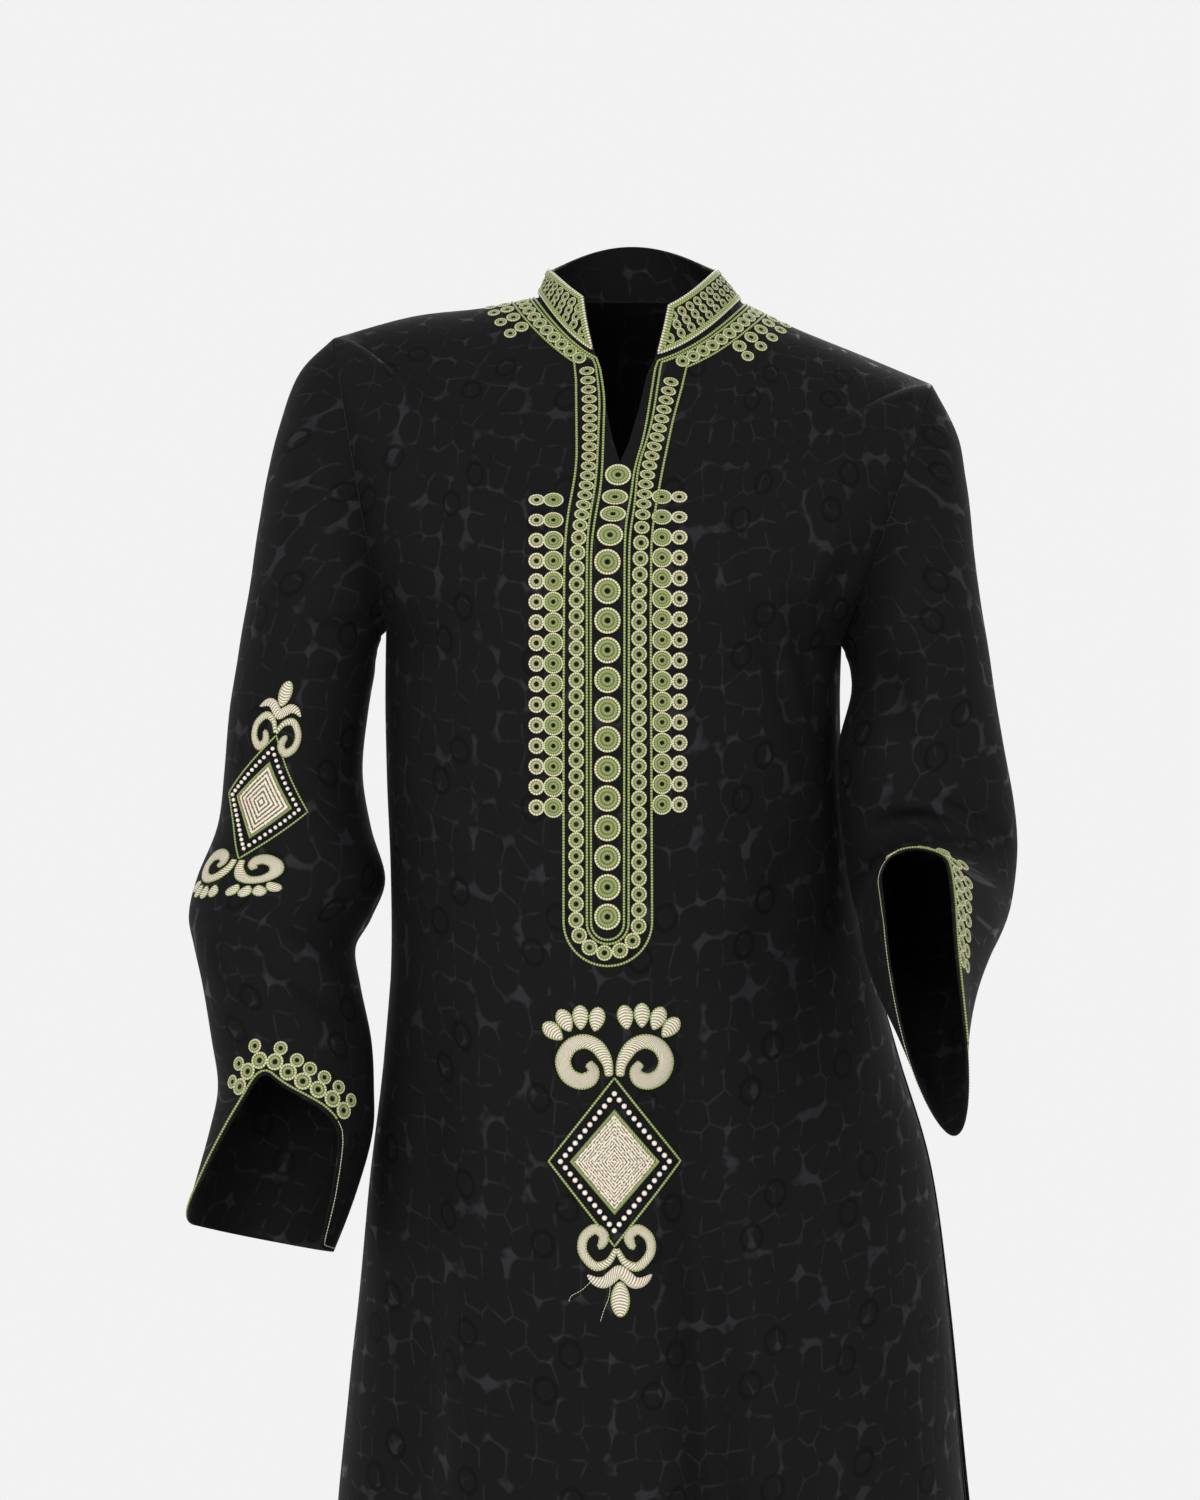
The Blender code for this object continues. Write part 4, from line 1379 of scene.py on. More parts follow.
def cord_tree() -> Tree:
    """The tree that lays a round cord along every path, with its length on the UV map.

    Returns:
        The tree.
    """
    inputs = {"Radius": "NodeSocketFloat", "Sides": "NodeSocketInt", "Material": "NodeSocketMaterial"}
    tree, start = node_group("cords_on_paths", inputs)
    length = add_node(tree, "GeometryNodeSplineParameter").outputs["Length"]
    path = add_node(tree, "GeometryNodeMeshToCurve", {0: start})
    walked = {"Geometry": path, "Name": "along", "Value": length}
    marked = add_node(tree, "GeometryNodeStoreNamedAttribute", walked, data_type="FLOAT", domain="POINT")
    ring = {"Resolution": start.outputs["Sides"], "Radius": start.outputs["Radius"]}
    section = add_node(tree, "GeometryNodeCurvePrimitiveCircle", ring, mode="RADIUS")
    swept = {"Curve": marked, "Profile Curve": section, "Fill Caps": True}
    tube = add_node(tree, "GeometryNodeCurveToMesh", swept)
    along = add_node(tree, "GeometryNodeInputNamedAttribute", {"Name": "along"}, data_type="FLOAT")
    place = add_node(tree, "ShaderNodeCombineXYZ", {0: along})
    mapped = {"Geometry": tube, "Name": "UVMap", "Value": place}
    flat = add_node(tree, "GeometryNodeStoreNamedAttribute", mapped, data_type="FLOAT2", domain="CORNER")
    return close_group(tree, start, add_node(tree, "GeometryNodeSetShadeSmooth", {0: flat}))


def run_tree(
    name: str, mesh: bpy.types.Mesh, tree: Tree, values: dict[str, object]
) -> Piece:
    """A plain piece, made by running a tree once on a mesh.

    Args:
        name: the piece's name.
        mesh: the points or paths that the tree starts from.
        tree: the Geometry Nodes tree.
        values: the tree's inputs, by name.

    Returns:
        The piece, with no modifier.
    """
    carrier = bpy.data.objects.new(f"{name}_start", mesh)
    bpy.context.scene.collection.objects.link(carrier)
    modifier = carrier.modifiers.new("nodes", "NODES")
    modifier.node_group = tree
    for item in tree.interface.items_tree:
        if item.in_out == "INPUT" and item.name in values:
            modifier[item.identifier] = values[item.name]
    graph = bpy.context.evaluated_depsgraph_get()
    made = bpy.data.meshes.new_from_object(carrier.evaluated_get(graph), depsgraph=graph)
    made.name = name
    bpy.data.objects.remove(carrier)
    for attribute in ("turn", "size", "along"):
        if attribute in made.attributes:
            made.attributes.remove(made.attributes[attribute])
    piece = bpy.data.objects.new(name, made)
    bpy.context.scene.collection.objects.link(piece)
    return piece


@dataclass(frozen=True)
class Roundel:
    """A flat coil of cord as a turned ring of radius 1: its profile from the rim to the hole."""

    name: str
    profile: tuple[Pair, ...]
    segments: int

    def build(self) -> Piece:
        """Makes the coil, its UV the share of a turn and the radius.

        Returns:
            The coil.
        """
        radius, height = np.array(self.profile).T[..., None]
        angle = 2 * math.pi * np.arange(self.segments) / self.segments
        points = np.stack((radius * np.cos(angle), radius * np.sin(angle), height + 0 * angle), axis=-1)
        rows = len(self.profile)
        faces, uvs = [], []
        for row in range(rows):
            for column in range(self.segments):
                below, beside = (row + 1) % rows, (column + 1) % self.segments
                corners = ((row, column), (row, beside), (below, beside), (below, column))
                faces.append([place * self.segments + turn for place, turn in corners])
                turns = (column, column + 1, column + 1, column)
                uvs += [
                    (turn / self.segments, self.profile[place][0]) for turn, (place, _) in zip(turns, corners)
                ]
        return new_piece(self.name, [Slab(points.reshape(-1, 3), faces, np.array(uvs))], None, 180)


LARGE_COIL = (
    (1.00, 0.00), (1.00, 0.09), (0.965, 0.16), (0.91, 0.185), (0.86, 0.16), (0.825, 0.05),
    (0.79, 0.09), (0.74, 0.17), (0.65, 0.20), (0.56, 0.17), (0.51, 0.06), (0.47, 0.10),
    (0.41, 0.17), (0.33, 0.185), (0.25, 0.15), (0.20, 0.04), (0.19, 0.00),
)
SMALL_COIL = (
    (1.00, 0.00), (0.98, 0.13), (0.90, 0.20), (0.81, 0.08), (0.72, 0.18), (0.56, 0.21),
    (0.42, 0.15), (0.28, 0.03), (0.27, 0.00),
)


@dataclass
class Threadwork:
    """The tools that every embroidered part is worked with."""

    finishes: Finishes
    cord_radius: float = 0.00085
    roundel_height: float = 0.85
    sink: float = 0.0002
    sources: list[Piece] = field(default_factory=list)

    def __post_init__(self) -> None:
        """Makes the repeated parts and the node trees."""
        self.large = Roundel("large_coil", LARGE_COIL, 32).build()
        self.small = Roundel("small_coil", SMALL_COIL, 16).build()
        bpy.ops.mesh.primitive_ico_sphere_add(subdivisions=2, radius=1)
        self.pearl = bpy.context.object
        self.pearl.data.shade_smooth()
        self.sources = [self.large, self.small, self.pearl]
        self.scatter = scatter_tree()
        self.cording = cord_tree()

    def put_away(self) -> None:
        """Removes the repeated parts once all the work is done."""
        for source in self.sources:
            bpy.data.objects.remove(source)

    def parts(
        self,
        name: str,
        marks: Sequence[Marks],
        part: Piece,
        material: Material,
        slot: Slot,
        *nodes: str,
    ) -> Piece:
        """Sets a part on every mark, as one piece that rides the body.

        Args:
            name: the piece's name.
            marks: groups of marks.
            part: the part.
            material: its finish.
            slot: its slot.
            nodes: the CAD nodes it replaces.

        Returns:
            The piece.
        """
        mesh = bpy.data.meshes.new(name)
        mesh.from_pydata(np.concatenate([group.points for group in marks]).tolist(), [], [])
        turns = np.concatenate([group.turns for group in marks])
        sizes = np.concatenate([group.sizes for group in marks])
        for label, values in (("turn", turns), ("size", sizes)):
            attribute = mesh.attributes.new(label, "FLOAT_VECTOR", "POINT")
            attribute.data.foreach_set("vector", values.astype(np.float32).ravel())
        piece = run_tree(name, mesh, self.scatter, {"Part": part, "Material": material})
        return ride(piece, slot, *nodes)

    def roundels(
        self, name: str, marks: Sequence[Marks], slot: Slot, *nodes: str, large: bool = False
    ) -> Piece:
        """Sets coiled roundels on every mark.

        Args:
            name: the piece's name.
            marks: groups of marks.
            slot: its slot.
            nodes: the CAD nodes it replaces.
            large: whether they are large coils.

        Returns:
            The piece.
        """
        if large:
            return self.parts(name, marks, self.large, self.finishes.coil, slot, *nodes)
        material = self.finishes.small_coil if slot is Slot.GREEN else self.finishes.pale_coil
        return self.parts(name, marks, self.small, material, slot, *nodes)

    def cords(
        self, name: str, paths: Sequence[Array], slot: Slot, radius: float | None = None, sides: int = 6
    ) -> Piece:
        """Lays a cord along every path of points, as one piece that rides the body.

        Args:
            name: the piece's name.
            paths: the paths.
            slot: its slot.
            radius: the cord's radius, or None for the usual one.
            sides: how many sides its section has.

        Returns:
            The piece.
        """
        points, edges, start = [], [], 0
        for path in paths:
            points.append(path)
            edges += [(start + step, start + step + 1) for step in range(len(path) - 1)]
            if np.linalg.norm(path[0] - path[-1]) < 1e-7:
                points[-1] = path[:-1]
                edges[-1] = (edges[-1][0], start)
            start += len(points[-1])
        mesh = bpy.data.meshes.new(name)
        mesh.from_pydata(np.concatenate(points).tolist(), edges, [])
        finishes = self.finishes
        material = {Slot.GREEN: finishes.green, Slot.GOLD: finishes.gold, Slot.JACQUARD: finishes.black}[slot]
        values = {"Radius": radius or self.cord_radius, "Sides": sides, "Material": material}
        return ride(run_tree(name, mesh, self.cording, values), slot)

    def marks(self, spot: Spot, along: Array, across: Array | float, tall: Array | float) -> Marks:
        """Marks for roundels on the cloth.

        Args:
            spot: their places on the cloth.
            along: the direction of each one's width.
            across: their widths.
            tall: their heights on the cloth.

        Returns:
            The marks, sunk a little into the cloth.
        """
        count = len(spot.point)
        across, tall = (np.broadcast_to(np.asarray(value, float), (count,)) for value in (across, tall))
        high = np.minimum(across, tall) / 2 * self.roundel_height
        sizes = np.stack((across / 2, tall / 2, high), axis=-1)
        return Marks(spot.point - spot.normal * self.sink, turns_on(spot.normal, along), sizes)

    def laid(self, spot: Spot, radius: float | None = None) -> Array:
        """A cord's path: its places on the cloth, lifted by a part of its radius."""
        return spot.point + spot.normal * 0.6 * (radius or self.cord_radius)


OUTER_LINE = Loop(
    ((-0.0474, -0.0580), (-0.0467, -0.1109), (-0.0467, -0.1204), (-0.0490, -0.1374), (-0.0522, -0.1533),
     (-0.0545, -0.1720), (-0.0555, -0.1951), (-0.0560, -0.3200), (-0.0560, -0.4520)),
    ((0.0300, -0.0633), (0.0232, -0.0884), (0.0184, -0.1109), (0.0158, -0.1232), (0.0128, -0.1390),
     (0.0095, -0.1580), (0.0071, -0.1766), (0.0065, -0.2319), (0.0070, -0.3400), (0.0076, -0.4520)),
    -0.4838,
)
DOUBLE_OUTER = Loop(
    ((-0.0328, -0.0480), (-0.0299, -0.0717), (-0.0309, -0.0959), (-0.0320, -0.1251), (-0.0338, -0.1420),
     (-0.0371, -0.1596), (-0.0389, -0.1764), (-0.0393, -0.2043), (-0.0392, -0.3200), (-0.0392, -0.4530)),
    ((0.0140, -0.0511), (0.0095, -0.0808), (0.0065, -0.0959), (0.0018, -0.1109), (-0.0024, -0.1233),
     (-0.0053, -0.1559), (-0.0084, -0.1710), (-0.0090, -0.1951), (-0.0093, -0.3200), (-0.0093, -0.4530)),
    -0.4680,
)
DOUBLE_INNER = Loop(
    ((-0.0298, -0.0500), (-0.0264, -0.0717), (-0.0273, -0.0959), (-0.0278, -0.1150), (-0.0288, -0.1347),
     (-0.0306, -0.1468), (-0.0338, -0.1633), (-0.0361, -0.1812), (-0.0365, -0.2043), (-0.0363, -0.4530)),
    ((0.0105, -0.0496), (0.0055, -0.0808), (0.0034, -0.0943), (-0.0015, -0.1147), (-0.0050, -0.1228),
     (-0.0061, -0.1347), (-0.0080, -0.1486), (-0.0112, -0.1635), (-0.0122, -0.1858), (-0.0126, -0.4530)),
    -0.4650,
)
ROUNDEL_LINE = Loop(
    ((-0.0394, -0.0511), (-0.0379, -0.0657), (-0.0371, -0.0884), (-0.0375, -0.1138), (-0.0385, -0.1302),
     (-0.0416, -0.1514), (-0.0444, -0.1676), (-0.0462, -0.1873), (-0.0467, -0.2094), (-0.0471, -0.4520)),
    ((0.0228, -0.0564), (0.0183, -0.0732), (0.0130, -0.0959), (0.0078, -0.1146), (0.0034, -0.1332),
     (0.0012, -0.1552), (-0.0003, -0.1771), (-0.0018, -0.2205), (-0.0018, -0.3300), (-0.0018, -0.4520)),
    -0.4745,
)


@dataclass
class Placket:
    """The work round the slit and down the front: cords, small coils, large coils and side blocks."""

    cloth: Cloth
    work: Threadwork
    coil_places: tuple[Pair, ...] = (
        (-0.0168, -0.1295), (-0.0190, -0.1457), (-0.0205, -0.1581), (-0.0226, -0.1735), (-0.0245, -0.1931),
    )
    coil_x: float = -0.0245
    coil_top: float = -0.2141
    coil_pitch: float = 0.0213
    coil_count: int = 12
    coil_size: float = 0.0190
    small_size: float = 0.0115
    close_pitch: float = 0.0072
    spread_top: float = -0.150
    spread_reach: float = 0.035
    overlap: float = 1.04
    path_step: float = 0.003
    squash_z: float = -0.1515
    squash_reach: float = 0.0206
    squash_depth: float = 0.42
    block_squash: float = 0.28
    block_rows: int = 16
    block_pitch: float = 0.0148
    block_tops: dict[Side, float] = field(default_factory=lambda: {Side.RIGHT: -0.1478, Side.LEFT: -0.1456})
    block_columns: dict[Side, Pair] = field(
        default_factory=lambda: {Side.RIGHT: (-0.0634, -0.0756), Side.LEFT: (0.0148, 0.0274)}
    )
    block_sizes: Pair = (0.0147, 0.0119)

    def _squash(self, z: Array, depth: float) -> Array:
        """How much a coil is pressed flat at a height, where the cloth under it gathers."""
        return 1 - depth * np.exp(-(((z - self.squash_z) / self.squash_reach) ** 2))

    def _small_pitch(self, place: Array) -> float:
        """The small coils' pitch: close in the slit's arms, side by side below them."""
        share = float(smooth_step((self.spread_top - place[1]) / self.spread_reach))
        return self.close_pitch + (self.small_size - self.close_pitch) * share

    def dress(self) -> None:
        """Works the placket."""
        work, cloth = self.work, self.cloth
        paths = []
        for loop in (OUTER_LINE, DOUBLE_OUTER, DOUBLE_INNER):
            line = walk(loop.path(), self.path_step)
            paths.append(work.laid(cloth.from_front(*line.T)))
        work.cords("placket_cords", paths, Slot.GREEN)
        heights = self.coil_top - self.coil_pitch * np.arange(self.coil_count)
        down = np.stack((np.full_like(heights, self.coil_x), heights), axis=-1)
        coils = np.concatenate((self.coil_places, down))
        tall = self.coil_size * self._squash(coils[:, 1], self.squash_depth)
        level = np.tile((1.0, 0.0, 0.0), (len(coils), 1))
        large = work.marks(cloth.from_front(*coils.T), level, self.coil_size, tall)
        work.roundels("placket_coils", [large], Slot.GREEN, "placket_embroidery", large=True)
        line = walk(ROUNDEL_LINE.path(), self._small_pitch)
        along = np.gradient(line, axis=0)
        along = np.stack((along[:, 0], 0 * line[:, 0], along[:, 1]), axis=-1)
        pitch = np.array([self._small_pitch(place) for place in line])
        small = work.marks(cloth.from_front(*line.T), along, pitch * self.overlap, self.small_size)
        work.roundels("placket_small_coils", [small], Slot.GREEN)
        for side, columns in self.block_columns.items():
            z = self.block_tops[side] - self.block_pitch * np.arange(self.block_rows)
            name = f"{side.name.lower()}_roundel_block"
            level = np.tile((1.0, 0.0, 0.0), (len(z), 1))
            rows = zip(columns, self.block_sizes, (Slot.GREEN, Slot.GOLD), ("near", "far"))
            for x, size, slot, column in rows:
                spot = cloth.from_front(x + 0 * z, z)
                marks = work.marks(spot, level, size, size * self._squash(z, self.block_squash))
                nodes = (name,) if slot is Slot.GOLD else ()
                work.roundels(f"{name}_{column}_coils", [marks], slot, *nodes, large=slot is Slot.GREEN)


@dataclass
class Yoke:
    """The work round the neck: cords and small coils on a cape of the front and the back joined."""

    front: Cloth
    back: Cloth
    work: Threadwork
    rows: int = 44
    double_lines: Pair = (0.0035, 0.0065)
    outer_line: float = 0.0200
    near_row: float = 0.0130
    near_size: float = 0.0105
    near_pitch: float = 0.0092
    pair_rows: Pair = (0.0265, 0.0370)
    pair_sizes: Pair = (0.0108, 0.0096)
    pair_pitch: float = 0.0139
    pair_margin: float = 0.0390
    near_margin: float = 0.0042
    path_step: float = 0.004

    def __post_init__(self) -> None:
        """Joins the cape, its columns running from the slit's right edge to its left."""
        half = self.front.parted
        front, back = self.front.outer[: self.rows], self.back.outer[: self.rows]
        self.cape = np.concatenate(
            (front[:, half::-1][:, :-1], back[:, ::-1], front[:, half + 1 :][:, ::-1][:, 1:]), axis=1
        )
        self.down = lengths_along(self.cape, axis=0)

    def _at(self, column: Array, distance: float) -> Array:
        """Points a distance from the neck seam, at fractional columns.

        Args:
            column: the columns.
            distance: how far from the seam.

        Returns:
            A point for each column.
        """
        low = np.minimum(column.astype(int), self.cape.shape[1] - 2)
        share = (column - low)[:, None]
        ends = []
        for place in (low, low + 1):
            ends.append(
                np.array(
                    [
                        [np.interp(distance, self.down[:, at], self.cape[:, at, axis]) for axis in range(3)]
                        for at in place
                    ]
                )
            )
        return ends[0] * (1 - share) + ends[1] * share

    def _columns(self, distance: float, pitch: float) -> Array:
        """Columns a pitch apart along a line round the neck.

        Args:
            distance: how far the line is from the neck seam.
            pitch: the length between them.

        Returns:
            The fractional columns.
        """
        every = np.arange(self.cape.shape[1], dtype=float)
        along = lengths_along(self._at(every, distance))
        count = round(along[-1] / pitch)
        return np.interp(np.linspace(0, along[-1], count + 1), along, every)

    def _spot(self, points: Array) -> Spot:
        """The cloth's places nearest to some points, on the front or the back.

        Args:
            points: points in space.

        Returns:
            The places, with their normals.
        """
        first, second = self.front.nearest(points), self.back.nearest(points)
        gaps = [np.linalg.norm(spot.point - points, axis=-1) for spot in (first, second)]
        nearer = (gaps[0] <= gaps[1])[..., None]
        return Spot(
            np.where(nearer, first.point, second.point), np.where(nearer, first.normal, second.normal)
        )

    def _row(self, columns: Array, distance: float, size: float, loop: Loop, margin: float) -> Marks:
        """Marks for one row of coils, clear of the placket's own line.

        Args:
            columns: the fractional columns.
            distance: how far the row is from the neck seam.
            size: the coils' size.
            loop: the placket's line.
            margin: how far outside it they stay.

        Returns:
            The row's marks.
        """
        points = self._at(columns, distance)
        along = self._at(np.clip(columns + 0.5, 0, self.cape.shape[1] - 1), distance) - points
        along[-1] = along[-2]
        keep = loop.outside(points, margin)
        return self.work.marks(self._spot(points[keep]), along[keep], size, size)

    def dress(self) -> None:
        """Works the yoke."""
        paths = []
        for distance, loop in (
            (self.double_lines[0], DOUBLE_INNER),
            (self.double_lines[1], DOUBLE_OUTER),
            (self.outer_line, OUTER_LINE),
        ):
            line = self._at(self._columns(distance, self.path_step), distance)
            line = line[loop.outside(line, 0.0)]
            ends = self.front.from_front(*np.array((loop.right[0], loop.left[0])).T).point
            spot = self._spot(np.concatenate((ends[:1], line, ends[1:])))
            paths.append(self.work.laid(spot))
        self.work.cords("yoke_cords", paths, Slot.GREEN)
        near = self._columns(self.near_row, self.near_pitch)
        pairs = self._columns(self.pair_rows[0], self.pair_pitch)
        pairs = pairs[OUTER_LINE.outside(self._at(pairs, self.pair_rows[0]), self.pair_margin)]
        groups = [self._row(near, self.near_row, self.near_size, ROUNDEL_LINE, self.near_margin)]
        for distance, size in zip(self.pair_rows, self.pair_sizes):
            groups.append(self._row(pairs, distance, size, OUTER_LINE, 0.0))
        self.work.roundels("yoke_coils", groups, Slot.GREEN, "yoke_embroidery")


@dataclass
class CollarWork:
    """The stand collar's work: a double cord round it and a field of overlapping oval coils."""

    cloth: Cloth
    work: Threadwork
    gold_insets: tuple[float, ...] = (0.0012,)
    green_insets: tuple[float, ...] = (0.0027, 0.0042)
    border_radius: float = 0.0010
    base_gap: float = 0.0026
    coil_width: float = 0.0068
    coil_pitch: float = 0.0090
    coil_rows: tuple[float, ...] = (0.31, 0.52, 0.73)
    coil_share: float = 0.195
    first_gap: float = 0.0075
    last_gap: float = 0.006
    end_slant: float = 1.3
    lift: float = 0.4

    def _border(self, inset: float) -> Array:
        """A closed path inside the collar's edges.

        Args:
            inset: how far inside them.

        Returns:
            The path, its last point on its first.
        """
        grid = self.cloth.outer
        rows, columns = grid.shape[0] - 1, grid.shape[1] - 1
        heights = lengths_along(grid, axis=0)[-1]
        widths = lengths_along(grid, axis=1)
        tops = []
        for row in (0, rows):
            reach = widths[row]
            first = np.interp(inset * self.end_slant, reach, range(columns + 1))
            last = np.interp(reach[-1] - inset * self.end_slant, reach, range(columns + 1))
            tops.append((first, last))
        edge = np.linspace(0, 1, 150)
        side = np.linspace(0, 1, 18)[1:-1]
        base = tops[0][0] + (tops[0][1] - tops[0][0]) * edge
        rim = tops[1][0] + (tops[1][1] - tops[1][0]) * edge
        low = rows * (inset + self.base_gap) / np.interp(base, range(columns + 1), heights)
        high = rows * (1 - inset / np.interp(rim, range(columns + 1), heights))
        up_row = low[-1] + (high[-1] - low[-1]) * side
        down_row = high[0] + (low[0] - high[0]) * side
        row = np.concatenate((low, up_row, high[::-1], down_row, low[:1]))
        up_column = base[-1] + (rim[-1] - base[-1]) * side
        down_column = rim[0] + (base[0] - rim[0]) * side
        column = np.concatenate((base, up_column, rim[::-1], down_column, base[:1]))
        return sample(grid, row, column)

    def dress(self) -> None:
        """Works the collar."""
        for name, insets, slot in (
            ("collar_gold_cords", self.gold_insets, Slot.GOLD),
            ("collar_green_cords", self.green_insets, Slot.GREEN),
        ):
            paths = []
            for inset in insets:
                spot = self.cloth.nearest(self._border(inset))
                path = spot.point + spot.normal * self.lift * self.border_radius
                path[-1] = path[0]
                paths.append(path)
            self.work.cords(name, paths, slot, self.border_radius, 8)
        grid = self.cloth.outer
        rows, columns = grid.shape[0] - 1, grid.shape[1] - 1
        middle = lengths_along(grid[rows // 2])
        every = np.arange(columns + 1.0)
        heights = lengths_along(grid, axis=0)[-1]
        groups = []
        for step, share in enumerate(self.coil_rows):
            first = self.first_gap + (step % 2) * self.coil_pitch / 2
            at = np.arange(first, middle[-1] - self.last_gap, self.coil_pitch)
            column = np.interp(at, middle, every)
            row = np.full(len(at), share * rows)
            points = sample(grid, row, column)
            along = sample(grid, row, column + 0.5) - points
            tall = self.coil_share * np.interp(column, every, heights)
            groups.append(self.work.marks(self.cloth.nearest(points), along, self.coil_width, tall))
        self.work.roundels("collar_coils", groups, Slot.GREEN)


@dataclass
class CuffWork:
    """A cuff's work: a cord all round the hem and up the notch, and two rows of coils on the notch."""

    form: SleeveForm
    cloth: Cloth
    work: Threadwork
    span: Pair
    line: float = 0.0032
    outer_end: float = -20.0
    near_row: float = 0.0115
    far_row: float = 0.0228
    near_size: float = 0.0130
    far_size: float = 0.0106
    pitch: float = 0.0124
    thin_radius: float = 0.0003
    path_step: float = 0.004
    path_points: int = 260
    kept_share: float = 0.985

    def _offset(self, inset: float, start: float, end: float) -> Array:
        """Points of the cloth a distance in from the cuff's edge.

        Args:
            inset: the distance.
            start: the first angle round the cuff, in degrees.
            end: the last one.

        Returns:
            The points, fewer where the offset folds over itself.
        """
        angles = np.radians(np.linspace(start, end, self.path_points))
        radius = self.form.cuff_radius
        edge = np.stack((radius * angles, self.form.setback(angles)), axis=-1)
        along = unit(np.gradient(edge, axis=0))
        moved = edge + np.stack((-along[:, 1], along[:, 0]), axis=-1) * inset
        gaps = np.linalg.norm(moved[:, None] - edge[None], axis=-1).min(axis=1)
        moved = moved[gaps > inset * self.kept_share]
        place = self.form.last - moved[:, 1] / self.form.ring_length
        return self.form.point(place, moved[:, 0] / radius)

    def dress(self) -> None:
        """Works the cuff."""
        name = self.cloth.name
        first, last = self.span
        edge = walk(self._offset(self.line, self.outer_end, last), self.path_step)
        self.work.cords(f"{name}_edge_cord", [self.work.laid(self.cloth.nearest(edge))], Slot.GREEN)
        hem = walk(self._offset(self.line, last + 1, self.outer_end + 359), self.path_step)
        path = self.work.laid(self.cloth.nearest(hem), self.thin_radius)
        self.work.cords(f"{name}_hem_thread", [path], Slot.GOLD, self.thin_radius)
        near = walk(self._offset(self.near_row, first, last), self.pitch)
        far = self._offset(self.far_row, first, last)
        gaps = np.linalg.norm(near[:, None] - far, axis=-1)
        groups = []
        for points, size in ((near, self.near_size), (far[gaps.argmin(axis=1)], self.far_size)):
            along = np.gradient(near, axis=0)
            groups.append(self.work.marks(self.cloth.nearest(points), along, size, size))
        self.work.roundels(f"{name}_cuff_coils", groups, Slot.GREEN)


class Petal(NamedTuple):
    """A satin petal: its middle in the motif's millimetres, and the angle of its length."""

    across: float
    up: float
    angle: float


